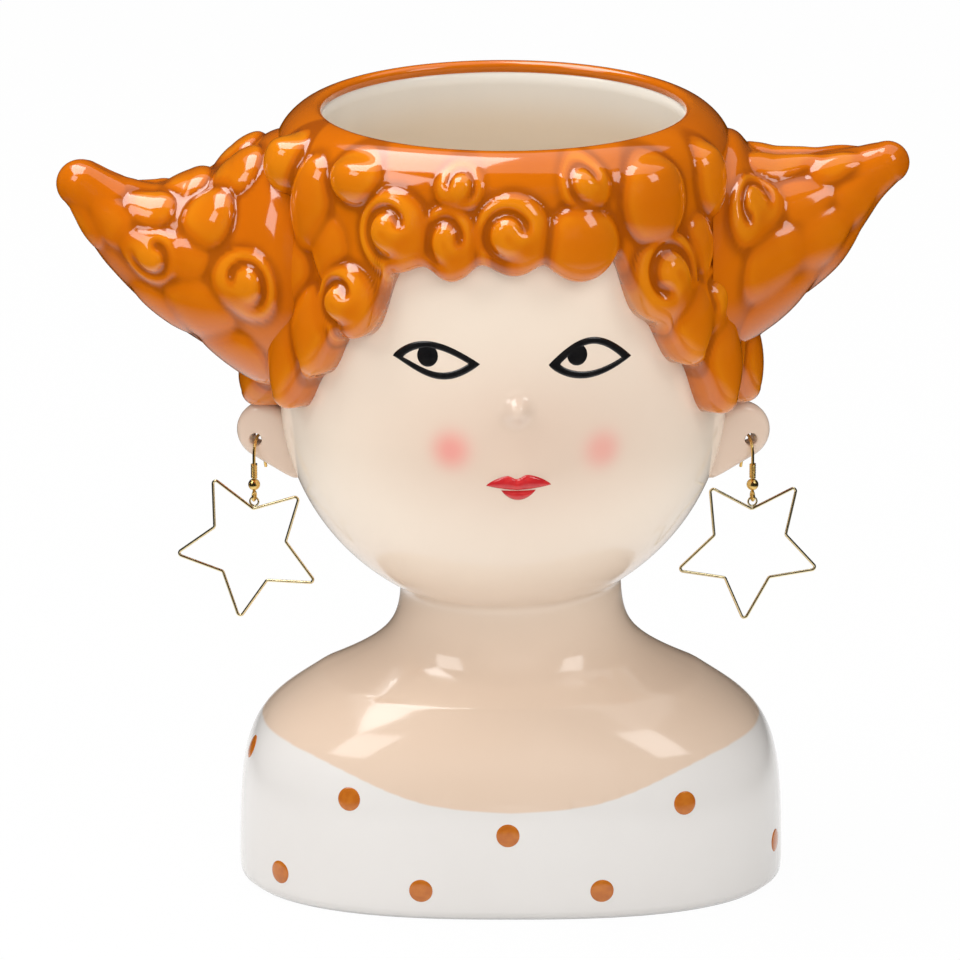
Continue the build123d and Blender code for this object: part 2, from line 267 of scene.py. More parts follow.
class GeometryTree(NodeTree):
    """A Geometry Nodes tree with named inputs."""

    def __init__(self, name: str) -> None:
        """Start an empty tree with a geometry input and output."""
        super().__init__(bpy.data.node_groups.new(name, "GeometryNodeTree"))
        self.inputs: dict[str, str] = {}
        for way in ("INPUT", "OUTPUT"):
            self.tree.interface.new_socket(name="Geometry", in_out=way, socket_type="NodeSocketGeometry")
        self.entry = self.tree.nodes.new("NodeGroupInput")
        self.exit = self.tree.nodes.new("NodeGroupOutput")

    def add_input(self, name: str, kind: str) -> Socket:
        """Add a named input and return its socket on the entry node."""
        item = self.tree.interface.new_socket(name=name, in_out="INPUT", socket_type=kind)
        self.inputs[name] = item.identifier
        return self.entry.outputs[name]

    def finish(self, geometry: Socket) -> None:
        """End the tree: realize instances, shade smooth and set the material."""
        material = self.add_input("Material", "NodeSocketMaterial")
        real = self.add("GeometryNodeRealizeInstances", Geometry=geometry)
        smooth = self.add("GeometryNodeSetShadeSmooth", Geometry=real.outputs["Geometry"])
        dressed = self.add("GeometryNodeSetMaterial", Geometry=smooth.outputs["Geometry"], Material=material)
        self.fill(self.exit.inputs["Geometry"], dressed.outputs["Geometry"])

    def run(self, made: Piece, **values: object) -> Piece:
        """Run the tree on an object and bake the result.

        Args:
            made: Object that the tree starts from.
            **values: Input names, with underscores for spaces, and their values.

        Returns:
            The plain mesh object.
        """
        modifier = made.modifiers.new("shape", "NODES")
        modifier.node_group = self.tree
        for key, value in values.items():
            modifier[self.inputs[key.replace("_", " ")]] = value
        return baked(made)


class ShaderTree(NodeTree):
    """The node tree of one material."""

    def __init__(self, name: str) -> None:
        """Start a material that has only a Principled shader."""
        self.material = bpy.data.materials.new(name)
        self.material.use_nodes = True
        super().__init__(self.material.node_tree)
        self.shader = self.tree.nodes["Principled BSDF"]

    def attribute(self, name: str) -> Socket:
        """Read a number stored on the mesh."""
        return self.add("ShaderNodeAttribute", {"attribute_name": name}).outputs["Fac"]

    def place(self) -> Socket:
        """Read Object coordinates."""
        return self.add("ShaderNodeTexCoord").outputs["Object"]

    def noise(self, scale: float, detail: float) -> Socket:
        """Noise on Object coordinates."""
        return self.add("ShaderNodeTexNoise", Vector=self.place(), Scale=scale, Detail=detail).outputs["Fac"]

    def between(self, value: Socket, low: float, high: float) -> Socket:
        """Map a number to 0 at low and 1 at high, smoothly."""
        settings = {"interpolation_type": "SMOOTHSTEP"}
        return self.add("ShaderNodeMapRange", settings, Value=value, From_Min=low, From_Max=high).outputs["Result"]

    def mix(self, share: object, first: object, second: object) -> Socket:
        """Mix two colours, each a socket or a colour, by a share."""
        node = self.add("ShaderNodeMix", {"data_type": "RGBA"})
        for index, value in zip((0, 6, 7), (share, first, second)):
            self.fill(node.inputs[index], (*value, 1.0) if isinstance(value, tuple) else value)
        return node.outputs[2]

    def colour(self, socket: Socket) -> None:
        """Link the shader's colour."""
        self.fill(self.shader.inputs["Base Color"], socket)

    def bump(self, height: Socket, strength: float, distance: float) -> None:
        """Give the shader a bump from a height."""
        node = self.add("ShaderNodeBump", Height=height, Strength=strength, Distance=distance)
        self.fill(self.shader.inputs["Normal"], node.outputs["Normal"])

    def set(self, **values: float) -> None:
        """Set constant sockets of the shader by name, with underscores for spaces."""
        for key, value in values.items():
            self.shader.inputs[key.replace("_", " ")].default_value = value


@dataclass(frozen=True)
class SkinGlaze:
    """Cream glaze of head and neck, with the white of the dress, the blush of the cheeks, a pale band inside the lip,
    and painted shade: deeper inside the hollow, round the cheeks, on the ears and, in part, on the neck and shoulders.
    """

    face: Colour = (0.93, 0.81, 0.675)
    # The cheek colour is painted shade, darker and warmer, laid round the cheeks and on the ears.
    cheek: Colour = (0.74, 0.565, 0.445)
    # The shoulder colour is darker than the face: partly the glaze's own peach tone, partly painted shade below the
    # head.
    shoulder: Colour = (0.73, 0.56, 0.43)
    dress: Colour = (0.75, 0.73, 0.71)
    # The inside colour is painted shade deep in the hollow; the lip colour is the paler band just inside the lip.
    inside: Colour = (0.78, 0.66, 0.51)
    lip: Colour = (0.86, 0.82, 0.74)
    blush: Colour = (0.85, 0.33, 0.28)
    lip_low: float = 0.186
    lip_high: float = 0.199
    neck_low: float = 0.060
    neck_high: float = 0.112
    dress_edge: float = 0.35
    cloud_dark: Colour = (0.62, 0.5, 0.4)
    cloud_light: Colour = (1.0, 0.96, 0.9)
    cloud_scale: float = 24.0
    cloud_share: float = 0.06
    roughness: float = 0.12
    coat: float = 0.2
    ripple: float = 55.0

    def material(self) -> Finish:
        """Build the material from the vessel's own attributes and Object coordinates."""
        tree = ShaderTree("skin_glaze")
        height = tree.add("ShaderNodeSeparateXYZ", Vector=tree.place()).outputs["Z"]
        # Darker towards the neck and shoulders: partly glaze tone, partly painted shade.
        skin = tree.mix(tree.between(height, self.neck_low, self.neck_high), self.shoulder, self.face)
        # Painted shade round the cheeks and on the ears.
        head_shaded = tree.mix(tree.attribute("warmth"), skin, self.cheek)
        rosy = tree.mix(tree.attribute("blush"), head_shaded, self.blush)
        above_dress = tree.between(tree.attribute("neckline"), -self.dress_edge, self.dress_edge)
        dressed = tree.mix(above_dress, self.dress, rosy)
        # Painted shade inside the hollow, paler towards the lip.
        lining_shade = tree.mix(tree.between(height, self.lip_low, self.lip_high), self.inside, self.lip)
        lined_with_shade = tree.mix(tree.attribute("inside"), dressed, lining_shade)
        cloud = tree.between(tree.noise(self.cloud_scale, 3.0), 0.2, 0.9)
        tree.colour(tree.mix(self.cloud_share, lined_with_shade, tree.mix(cloud, self.cloud_dark, self.cloud_light)))
        tree.bump(tree.noise(self.ripple, 2.0), 0.05, 0.002)
        tree.set(Roughness=self.roughness, IOR=GLAZE_IOR, Coat_Weight=self.coat, Coat_Roughness=0.03)
        return tree.material


@dataclass(frozen=True)
class HairGlaze:
    """Ginger glaze that pools dark in the creases of the curls and breaks light over their crests."""

    pooled: Colour = (0.36, 0.07, 0.001)
    even: Colour = (0.62, 0.138, 0.001)
    broken: Colour = (0.74, 0.22, 0.004)
    cloud_scale: float = 40.0
    cloud_share: float = 0.18
    roughness: float = 0.1
    coat: float = 0.6
    ripple: float = 70.0

    def material(self) -> Finish:
        """Build the material from the hair's pool attribute."""
        tree = ShaderTree("hair_glaze")
        pool = tree.attribute("pool")
        deep = tree.mix(tree.between(pool, -0.75, 0.05), self.pooled, self.even)
        light = tree.mix(tree.between(pool, 0.05, 0.8), deep, self.broken)
        cloud = tree.between(tree.noise(self.cloud_scale, 4.0), 0.25, 0.8)
        tree.colour(tree.mix(self.cloud_share, light, tree.mix(cloud, self.pooled, self.broken)))
        tree.bump(tree.noise(self.ripple, 2.0), 0.05, 0.002)
        tree.set(Roughness=self.roughness, IOR=GLAZE_IOR, Coat_Weight=self.coat, Coat_Roughness=0.03)
        return tree.material


@dataclass(frozen=True)
class PaintGlaze:
    """A fired paint stroke, a little thinner in places."""

    name: str
    thick: Colour
    thin: Colour
    roughness: float = 0.2
    coat: float = 0.4
    wash_scale: float = 420.0
    ripple: float = 900.0

    def material(self) -> Finish:
        """Build the material with a brushed unevenness."""
        tree = ShaderTree(self.name)
        wash = tree.between(tree.noise(self.wash_scale, 3.0), 0.3, 0.75)
        tree.colour(tree.mix(wash, self.thick, self.thin))
        tree.bump(tree.noise(self.ripple, 2.0), 0.08, 0.0004)
        tree.set(Roughness=self.roughness, IOR=GLAZE_IOR, Coat_Weight=self.coat, Coat_Roughness=0.05)
        return tree.material


@dataclass(frozen=True)
class GoldPlate:
    """Gold-toned plating, with the fine draw marks of the wire."""

    name: str
    bright: Colour
    dull: Colour
    roughness: float
    wear_scale: float = 600.0
    draw_marks: float = 2600.0

    def material(self) -> Finish:
        """Build the material."""
        tree = ShaderTree(self.name)
        wear = tree.between(tree.noise(self.wear_scale, 4.0), 0.3, 0.7)
        tree.colour(tree.mix(wear, self.dull, self.bright))
        tree.bump(tree.noise(self.draw_marks, 2.0), 0.06, 0.0001)
        tree.set(Metallic=1.0, Roughness=self.roughness)
        return tree.material


class Side(Enum):
    """A side of the head, as the viewer sees it."""

    LEFT = -1
    RIGHT = 1

    @property
    def label(self) -> str:
        """Name of the side, as the frame's nodes have it."""
        return self.name.lower()


@dataclass(frozen=True)
class VesselForm:
    """The thrown form: an oval bust that rolls into a neck, under a ball with a tapering crown."""

    bust_width: float = 142.0
    bust_depth: float = 100.0
    bust_squareness: float = 2.5
    shoulder_height: float = 54.0
    shoulder_roll: float = 7.2
    neck_sweep: float = 4.6
    neck_diameter: float = 56.6
    crease_softness: float = 1.6
    back_sag: float = 2.3
    sag_spread: float = 10.0
    sag_reach: float = 30.0
    foot_round: float = 1.6
    wall: float = 5.0
    floor_thickness: float = 6.0
    total_height: float = 205.0
    head_diameter: float = 116.0
    head_centre: float = 129.0
    crown_taper: float = 5.0
    head_lean: float = -2.0
    face_turn: float = 3.4
    nose_height: float = 139.0
    nose_radius: float = 3.0
    nose_rise: float = 3.4
    bridge_radius: float = 7.0
    bridge_rise: float = 0.35
    mouth_height: float = 121.0
    mouth_rise: float = 1.3
    mouth_spread: tuple[float, float] = (9.0, 6.0)

    def roll(self, height: Array, wide: float, narrow: float, drop: float) -> Array:
        """Half span of the bust at heights, rolling over from the shoulder into the neck."""
        from_shoulder = height - self.shoulder_height + drop
        softness = np.where(from_shoulder < 0, self.shoulder_roll, self.neck_sweep)
        return narrow + (wide - narrow) / (1 + np.exp(from_shoulder / softness))

    def skull_radius(self, height: Array) -> Array:
        """Radius of the head at heights: a ball below, the cone that is tangent to it above."""
        radius = self.head_diameter / 2
        slope = math.radians(self.crown_taper)
        above = height - self.head_centre
        round_part = np.sqrt(np.clip(radius**2 - above**2, 0, None))
        cone = radius / math.cos(slope) - above * math.tan(slope)
        return np.where(above > radius * math.sin(slope), cone, round_part)

    def girth(self, height: Array, inset: float = 0.0) -> tuple[Array, Array, Array, Array]:
        """Plan of the vessel at heights.

        Args:
            height: Heights.
            inset: How far inside the outer face.

        Returns:
            Half width, half depth, squareness and middle in X of each plan.
        """
        neck = self.neck_diameter / 2
        half_width = self.roll(height, self.bust_width / 2, neck, inset) - inset
        half_depth = self.roll(height, self.bust_depth / 2, neck, inset) - inset
        power = self.roll(height, self.bust_squareness, 2.0, inset)
        skull = self.skull_radius(height) - inset
        apart = skull - half_width
        spread = np.sqrt(apart**2 + self.crease_softness**2)
        share = 0.5 * (1 + apart / spread)
        wide = 0.5 * (half_width + skull + spread)
        deep_apart = skull - half_depth
        deep = 0.5 * (half_depth + skull + np.sqrt(deep_apart**2 + self.crease_softness**2))
        return wide, deep, 2 + (power - 2) * (1 - share), self.head_lean * share

    def rings(self, height: Array, azimuth: Array, inset: float = 0.0, trim: Array | float = 0.0) -> Array:
        """Points of the vessel on rings.

        Args:
            height: Height of each ring.
            azimuth: Angles of the points on a ring, in radians.
            inset: How far inside the outer face, as for the hollow.
            trim: Length taken off each ring's radius, as at the rounded foot.

        Returns:
            Array of shape (rings, points, 3).
        """
        wide, deep, power, middle = (values[:, None] for values in self.girth(height, inset))
        across, along = np.abs(np.sin(azimuth))[None, :], np.abs(np.cos(azimuth))[None, :]
        radius = ((across / wide) ** power + (along / deep) ** power) ** (-1 / power)
        radius = radius - np.reshape(np.broadcast_to(trim, height.shape), (-1, 1))
        x = middle + radius * np.sin(azimuth)
        y = -radius * np.cos(azimuth)
        sag = self.back_sag * np.exp(-(((height[:, None] - self.shoulder_height) / self.sag_spread) ** 2))
        return np.stack([x, y, height[:, None] - sag * smooth_step(0, self.sag_reach, y)], axis=2)

    def face_relief(self, azimuth: Array, height: Array) -> Array:
        """Rise of the nose and of the mouth's mound above the ball, at azimuths in degrees."""
        across = np.radians(azimuth - self.face_turn) * self.head_diameter / 2
        nose = np.hypot(across, height - self.nose_height)
        rise = self.nose_rise * np.exp(-((nose / self.nose_radius) ** 2.4))
        rise = rise + self.bridge_rise * np.exp(-((nose / self.bridge_radius) ** 2))
        mound = (across / self.mouth_spread[0]) ** 2 + ((height - self.mouth_height) / self.mouth_spread[1]) ** 2
        return rise + self.mouth_rise * np.exp(-mound)

    def outward(self, azimuth: Array, height: Array) -> Array:
        """Outward normal of the head at azimuths in degrees and heights."""
        turn = np.radians(azimuth)
        slope = math.radians(self.crown_taper)
        rise = np.clip((height - self.head_centre) / (self.head_diameter / 2), -1, math.sin(slope))
        level = np.sqrt(1 - rise**2)
        return np.stack([level * np.sin(turn), -level * np.cos(turn), rise], axis=-1)

    def on_skin(self, azimuth: Array, height: Array, lift: Array | float) -> Array:
        """Points on the face, with its relief, lifted along the skin's normal."""
        turn = np.radians(azimuth)
        radius = self.skull_radius(height)
        base = np.stack([self.head_lean + radius * np.sin(turn), -radius * np.cos(turn), height], axis=-1)
        rise = self.face_relief(azimuth, height) + lift
        return base + self.outward(azimuth, height) * np.asarray(rise)[..., None]


@dataclass
class Vessel:
    """The hollow head and bust."""

    form: VesselForm
    around: int = 300
    outside_rings: int = 215
    inside_rings: int = 70
    front_crowding: float = 0.55
    face_span: tuple[float, float] = (104.0, 164.0)
    face_crowding: float = 1.9
    lip_height: float = 201.6
    dress_rise: float = 0.3
    neckline_azimuths: tuple[float, ...] = (0, 20, 30, 42, 52, 60, 72, 90, 120, 150, 180)
    neckline_heights: tuple[float, ...] = (29.0, 30.2, 32.0, 36.3, 39.4, 40.8, 41.6, 41.0, 40.0, 38.5, 38.0)
    blush_places: tuple[tuple[float, float, float], ...] = ((-13.4, 128.4, 0.95), (25.6, 127.5, 0.72))
    blush_radius: float = 4.9
    # Middle and spread of the painted shade round the cheeks, as azimuth and height.
    warm_place: tuple[float, float] = (6.0, 130.0)
    warm_spread: tuple[float, float] = (46.0, 24.0)

    def neckline(self, azimuth: Array) -> Array:
        """Height of the dress's edge at azimuths in degrees."""
        away = np.abs(wrapped(azimuth))
        shifted = [away + shift for shift in (-6, -3, 0, 3, 6)]
        return np.mean([np.interp(at, self.neckline_azimuths, self.neckline_heights) for at in shifted], axis=0)

    def heights(self) -> Array:
        """Heights of the outer rings, even along the profile and closer together on the face."""
        fine = np.linspace(0, self.lip_height, 4000)
        wide, _, _, _ = self.form.girth(fine)
        length = np.hypot(np.diff(wide), np.diff(fine))
        face = (fine[1:] > self.face_span[0]) & (fine[1:] < self.face_span[1])
        run = np.concatenate([[0], np.cumsum(length * np.where(face, self.face_crowding, 1.0))])
        return np.interp(np.linspace(0, run[-1], self.outside_rings), run, fine)

    def build(self, finish: Finish) -> Piece:
        """Make the vessel, outside and inside, as one closed mesh.

        Args:
            finish: Material of the whole vessel.

        Returns:
            The object.
        """
        form = self.form
        steps = full_turn(self.around)
        azimuth = steps - self.front_crowding * np.sin(steps)
        degrees = np.degrees(azimuth)
        height = self.heights()
        foot = np.clip(1 - height / form.foot_round, 0, 1)
        trim = form.foot_round * (1 - np.sqrt(1 - foot**2))
        outside = form.rings(height, azimuth, 0.0, trim)
        over_neck = smooth_step(84, 92, height)[:, None]
        relief = form.face_relief(wrapped(degrees)[None, :], height[:, None]) * over_neck
        dress = 1 - smooth_step(-0.5, 0.5, height[:, None] - self.neckline(degrees)[None, :])
        normal = form.outward(np.broadcast_to(degrees, relief.shape), np.broadcast_to(height[:, None], relief.shape))
        flat = np.stack([np.sin(azimuth), -np.cos(azimuth), np.zeros_like(azimuth)], axis=-1)
        lift = self.dress_rise * dress * smooth_step(0, 4, height)[:, None]
        sunk = flat[None] * (self.dress_rise - lift)[..., None] * (dress > 0)[..., None]
        outside = outside + normal * relief[..., None] - sunk
        inner_height = np.linspace(self.lip_height - 0.2, form.floor_thickness, self.inside_rings)
        inside = form.rings(inner_height, azimuth, form.wall)
        lip_out = form.rings(np.array([self.lip_height + 0.5]), azimuth, 1.2)
        lip_in = form.rings(np.array([self.lip_height + 0.4]), azimuth, form.wall - 0.6)
        rings = np.concatenate([outside, lip_out, lip_in, inside])
        made = capped(rings).to_object("glazed_head_and_bust", finish)
        self.mark(made)
        return made

    def mark(self, made: Piece) -> None:
        """Store how far each point is above the neckline, its blush, its painted shade round the cheeks, and whether it
        is inside.
        """
        points = points_of(made.data)
        azimuth = np.degrees(np.arctan2(points[:, 0], -points[:, 1]))
        store(made, "neckline", points[:, 2] - self.neckline(azimuth))
        head_azimuth = np.degrees(np.arctan2(points[:, 0] - self.form.head_lean, -points[:, 1]))
        blush = np.zeros(len(points))
        for place, height, strength in self.blush_places:
            across = np.radians(head_azimuth - place) * self.form.head_diameter / 2
            apart = np.hypot(across, points[:, 2] - height)
            blush = np.maximum(blush, strength * np.exp(-((apart / self.blush_radius) ** 2.6)))
        store(made, "blush", blush)
        # Painted shade, strongest round the cheeks and fading over the face.
        across = np.radians(head_azimuth - self.warm_place[0]) * self.form.head_diameter / 2
        rise = points[:, 2] - self.warm_place[1]
        store(made, "warmth", np.exp(-((across / self.warm_spread[0]) ** 2) - (rise / self.warm_spread[1]) ** 2))
        wide, deep, power, middle = self.form.girth(points[:, 2], self.form.wall / 2)
        reach = (np.abs(points[:, 0] - middle) / wide) ** power + (np.abs(points[:, 1]) / deep) ** power
        store(made, "inside", ((reach < 1) & (points[:, 2] > self.form.floor_thickness - 0.5)).astype(float))


class CurlKind(Enum):
    """Ways in which a lock of hair is rolled."""

    SPIRAL = "spiral"
    BACK_SPIRAL = "back_spiral"
    BALL = "ball"
    LEAF = "leaf"


SPIRAL, BACK_SPIRAL, BALL, LEAF = CurlKind


@dataclass(frozen=True)
class Curl:
    """One curl of the relief: its place on its surface, radius, kind, roll and how tall it is for its width.

    On the head the place is an azimuth and a height. On a bun it is the reach from the head's axis and the
    angle round the bun, up from its front. Its eye, groove and knob are shares of its radius and height.
    """

    eye_shift: ClassVar[float] = 0.12
    groove_reach: ClassVar[float] = 0.51
    groove_pitch: ClassVar[float] = 0.05
    groove_width: ClassVar[float] = 0.155
    groove_depth: ClassVar[float] = 0.5
    knob_rise: ClassVar[float] = 0.10
    knob_reach: ClassVar[float] = 0.42
    dome_power: ClassVar[float] = 0.72
    across: float
    up: float
    radius: float
    kind: CurlKind
    roll: float = 0.0
    tall: float = 1.0
    rise: float = 1.0

    def swell(self, across: Array, up: Array, rise: float) -> Array:
        """Height of the curl above its surface, below 0 outside it.

        Args:
            across: Distances from the curl's middle across the surface.
            up: Distances from it up the surface.
            rise: Height of a curl's top as a share of its radius.

        Returns:
            Heights.
        """
        right, above = across / self.radius, up / (self.radius * self.tall)
        if self.kind is LEAF:
            right = right / (0.45 + 0.55 * smooth_step(-1.15, 0.2, above))
        inside = 1 - right**2 - above**2
        top = rise * self.rise * self.radius
        dome = top * np.sign(inside) * np.abs(inside) ** self.dome_power
        if self.kind in (BALL, LEAF):
            return dome
        hand = 1 if self.kind is SPIRAL else -1
        turn = math.radians(self.roll)
        from_eye = right - self.eye_shift * math.cos(turn), above - self.eye_shift * math.sin(turn)
        angle = (hand * (np.arctan2(from_eye[1], from_eye[0]) - turn) + math.pi) % (2 * math.pi) - math.pi
        distance = np.hypot(*from_eye)
        groove = np.exp(-(((distance - self.groove_reach - self.groove_pitch * angle) / self.groove_width) ** 2))
        groove = groove * smooth_step(-2.75, -1.7, angle) * (1 - smooth_step(1.5, 2.9, angle))
        knob = self.knob_rise * np.exp(-((distance / self.knob_reach) ** 4))
        return dome + top * (knob - self.groove_depth * groove)


@dataclass(frozen=True)
class BunForm:
    """A horn bun: knots of reach from the head's axis, height and radius, and the curls of its front."""

    side: Side
    knots: tuple[tuple[float, float, float], ...]
    curls: tuple[Curl, ...]


@dataclass
class Hair:
    """The curled hair round the head and the two horn buns, moulded in low relief."""

    form: VesselForm
    thickness: float = 6.6
    softness: float = 0.45
    rise: float = 0.385
    back_rise: float = 0.84
    bun_rise: float = 0.42
    pool_reach: float = 2.6
    around: int = 540
    rows: int = 112
    bun_rings: int = 120
    bun_sides: int = 128
    edge_blur: float = 3.6
    blur_reach: int = 8
    bend_steps: int = 8
    shoulder_steps: int = 26
    settle_length: float = 5.0
    relief_start: float = 2.0
    relief_full: float = 7.5
    tip_turn: float = 86.0
    tip_steps: int = 12
    least_girth: float = 5.0
    inner_rows: int = 20
    inner_depth: float = 2.5
    inner_drop: float = 6.0
    pool_scale: float = 0.75
    pool_limit: float = 1.5
    bun_flare: float = 3.5
    flare_reach: float = 58.0
    flare_length: float = 8.0
    upright_length: float = 22.0
    edge_round: float = 4.2
    leaf_end: float = 0.7
    large_curl: float = 10.0
    shoulder: tuple[tuple[float, float], ...] = (
        (46.9, 2.4), (47.1, 1.0), (48.4, 0.2), (50.6, 0.7), (53.6, 2.3), (56.4, 4.9), (58.2, 7.8), (58.9, 10.5),
    )
    hairline_azimuths: tuple[float, ...] = (0, 22, 30, 38, 44, 50, 56, 64, 76, 90, 112, 130, 150, 180)
    hairline_heights: tuple[float, ...] = (182, 180, 178, 172, 165, 159, 153, 145, 137, 130, 126, 118, 104, 101)
    curls: tuple[Curl, ...] = (
        Curl(-69, 194.8, 8.6, BALL, 0, 1.0, 2.0),
        Curl(-55.5, 187.2, 9.2, BALL, 0, 1.36, 1.15),
        Curl(-40.5, 197.0, 9.2, BALL, 0, 0.78, 1.1),
        Curl(-27.5, 184.8, 11.2, SPIRAL, 150, 1.0, 1.1),
        Curl(-13.2, 183.0, 8.8, SPIRAL, 120, 1.2),
        Curl(-11.3, 197.2, 7.0, BACK_SPIRAL, 70, 0.9),
        Curl(2.1, 185.4, 11.0, SPIRAL, 140, 1.0, 1.1),
        Curl(19.1, 182.6, 11.2, BALL, 0, 0.92, 1.1),
        Curl(20.8, 197.4, 7.6, SPIRAL, 130),
        Curl(40.2, 191.4, 11.6, BALL, 0, 1.05, 1.1),
        Curl(63, 192.4, 8.2, BALL, 0, 1.25, 1.2),
        Curl(42.5, 170.8, 11.8, BACK_SPIRAL, 120, 1.05, 1.1),
        Curl(55.3, 175.6, 6.8, LEAF, 0, 1.35),
        Curl(-40.3, 164.8, 10.2, SPIRAL, 160, 1.0, 1.15),
        Curl(-60, 167.2, 7.6, LEAF, 0, 1.6),
        Curl(-47.5, 176.8, 7.4, LEAF, 0, 1.2, 0.7),
        Curl(-52.0, 154.8, 8.2, LEAF, 0, 1.5, 1.1),
        Curl(-62.0, 146.4, 9.2, LEAF, 0, 1.65, 1.1),
        Curl(-77.0, 151.0, 9.6, LEAF, 0, 1.8),
        Curl(-76.0, 170.0, 9.0, SPIRAL, 120),
        Curl(-89.0, 134.0, 9.6, BALL, 0, 0.95, 1.15),
        Curl(50.5, 157.8, 9.4, LEAF, 0, 1.3, 1.1),
        Curl(59.0, 161.0, 8.8, BACK_SPIRAL, 90, 1.1),
        Curl(63.0, 143.8, 9.4, LEAF, 0, 1.5, 1.1),
        Curl(72.5, 148.6, 4.8, LEAF, 0, 2.0),
        Curl(74, 166.6, 6.8, LEAF, 0, 1.4),
        Curl(83.0, 140.0, 9.8, LEAF, 0, 1.3),
    )
    back_rows: tuple[tuple[float, float, float, float], ...] = (
        (185.2, 12.8, 45.0, 45.0), (160.2, 12.8, 22.5, 45.0), (135.8, 12.8, 45.0, 45.0),
        (185.2, 9.2, 22.5, 45.0), (184.0, 9.0, 74.0, 148.0), (172.0, 8.6, 67.5, 45.0),
        (160.2, 9.4, 45.0, 45.0), (160.0, 9.0, 74.0, 148.0), (147.5, 8.8, 67.5, 45.0),
        (135.8, 9.2, 22.5, 45.0), (119.0, 9.0, 33.0, 22.0), (107.5, 7.6, 20.0, 20.0),
    )

    def back_curls(self) -> list[Curl]:
        """Curls of the back and sides, in rows of a height, radius, half angle and step, rolled either way."""
        curls = []
        for row, (height, radius, half_angle, step) in enumerate(self.back_rows):
            for index in range(round(2 * half_angle / step) + 1):
                kind = (SPIRAL, BALL, BACK_SPIRAL)[(index + 2 * row) % 3]
                if radius > self.large_curl and kind is BALL:
                    kind = SPIRAL
                roll = (97 * index + 53 * row) % 360
                curls.append(Curl(180 - half_angle + step * index, height, radius, kind, roll, 1.0, self.back_rise))
        return curls

    def blend(self, swells: list[Array]) -> Array:
        """Blend curls into one skin, each soft where it meets the next and the plain hair between them."""
        return self.softness * np.log1p(sum(np.exp(np.maximum(swell, -30.0) / self.softness) for swell in swells))

    @property
    def girth(self) -> float:
        """Length of one degree of azimuth on the hair."""
        return math.radians(self.form.head_diameter / 2 + self.thickness)

    def cap_relief(self, curls: list[Curl], azimuth: Array, height: Array) -> Array:
        """Relief of the hair round the head at azimuths in degrees and heights."""
        swells = []
        for curl in curls:
            across = wrapped(azimuth - curl.across) * self.girth
            swells.append(curl.swell(across, height - curl.up, self.rise))
        return self.blend(swells)

    def hairline(self, curls: list[Curl], azimuth: Array) -> Array:
        """Height of the hair's lower edge, scalloped by the curls that hang over it.

        Args:
            curls: The curls.
            azimuth: Even steps of azimuth round the head, in degrees.

        Returns:
            A height for each azimuth.
        """
        low = np.interp(np.abs(wrapped(azimuth)), self.hairline_azimuths, self.hairline_heights)
        top = self.form.total_height
        bottoms = [np.exp((top - low) / self.softness)]
        for curl in curls:
            across = wrapped(azimuth - curl.across) * self.girth / curl.radius
            power = self.leaf_end if curl.kind is LEAF else 0.5
            drop = np.clip(1 - across**2, 0, 1) ** power * curl.radius * curl.tall
            bottoms.append(np.where(np.abs(across) < 1, np.exp((top - curl.up + drop) / self.softness), 0.0))
        low = top - self.softness * np.log(sum(bottoms))
        blur = np.exp(-((np.arange(-self.blur_reach, self.blur_reach + 1) / self.edge_blur) ** 2))
        return np.convolve(np.pad(low, self.blur_reach, mode="wrap"), blur / blur.sum(), mode="valid")

    def pooled(self, relief: Array, around: list[Array]) -> Array:
        """How hollow (below 0) or crested (above 0) the relief is, from the relief round about each point."""
        return np.clip((relief - sum(around) / len(around)) / self.pool_scale, -self.pool_limit, self.pool_limit)

    @property
    def compass(self) -> list[tuple[float, float]]:
        """Steps to eight points round about a point."""
        angles = np.radians(np.arange(0, 360, 45))
        return [(self.pool_reach * math.cos(angle), self.pool_reach * math.sin(angle)) for angle in angles]

    def build_cap(self, finish: Finish) -> Piece:
        """Mould the hair round the head: over the lip, down the relief to the scalloped edge and back inside.

        Args:
            finish: Its material.

        Returns:
            The object.
        """
        form, top = self.form, self.form.total_height
        curls = [*self.curls, *self.back_curls()]
        azimuth = np.linspace(0, 360, self.around, endpoint=False)
        low = self.hairline(curls, azimuth)[:, None]
        knots = np.array(self.shoulder)
        share, fine = np.linspace(0, 1, len(knots)), np.linspace(0, 1, self.shoulder_steps)
        reach, drop = (self.eased(share, knots[:, column], fine) for column in range(2))
        under = np.linspace(0, 1, self.rows)[None, 1:]
        start = top - drop[-1]
        outer_height = start + (low + self.edge_round - start) * under
        height = np.hstack([np.broadcast_to(top - drop, (self.around, len(fine))), outer_height])
        settle = knots[-1, 0] - form.skull_radius(np.array(start)) - self.thickness
        outer = form.skull_radius(outer_height) + self.thickness
        outer = outer + settle * np.exp((outer_height - start) / self.settle_length)
        radius = np.hstack([np.broadcast_to(reach, (self.around, len(fine))), outer])
        turn = np.broadcast_to(azimuth[:, None], height.shape)
        relief = self.cap_relief(curls, turn, height)
        nearby = [self.cap_relief(curls, turn + a / self.girth, height + u) for a, u in self.compass]
        pool = self.pooled(relief, nearby)
        run, fall = np.gradient(radius, axis=1), np.gradient(height, axis=1)
        length = np.hypot(run, fall)
        swell = relief * smooth_step(self.relief_start, self.relief_full, top - height)
        radius, height = radius - swell * fall / length, height + swell * run / length
        bend = np.radians(np.linspace(0, 90, self.bend_steps))[None, 1:]
        edge = radius[:, -1:] - self.edge_round * (1 - np.cos(bend))
        edge_height = height[:, -1:] - self.edge_round * np.sin(bend)
        inner_height = low + (top - self.inner_drop - low) * np.linspace(0, 1, self.inner_rows)[None, :]
        inner = form.skull_radius(inner_height) - self.inner_depth
        radius, height = np.hstack([radius, edge, inner]), np.hstack([height, edge_height, inner_height])
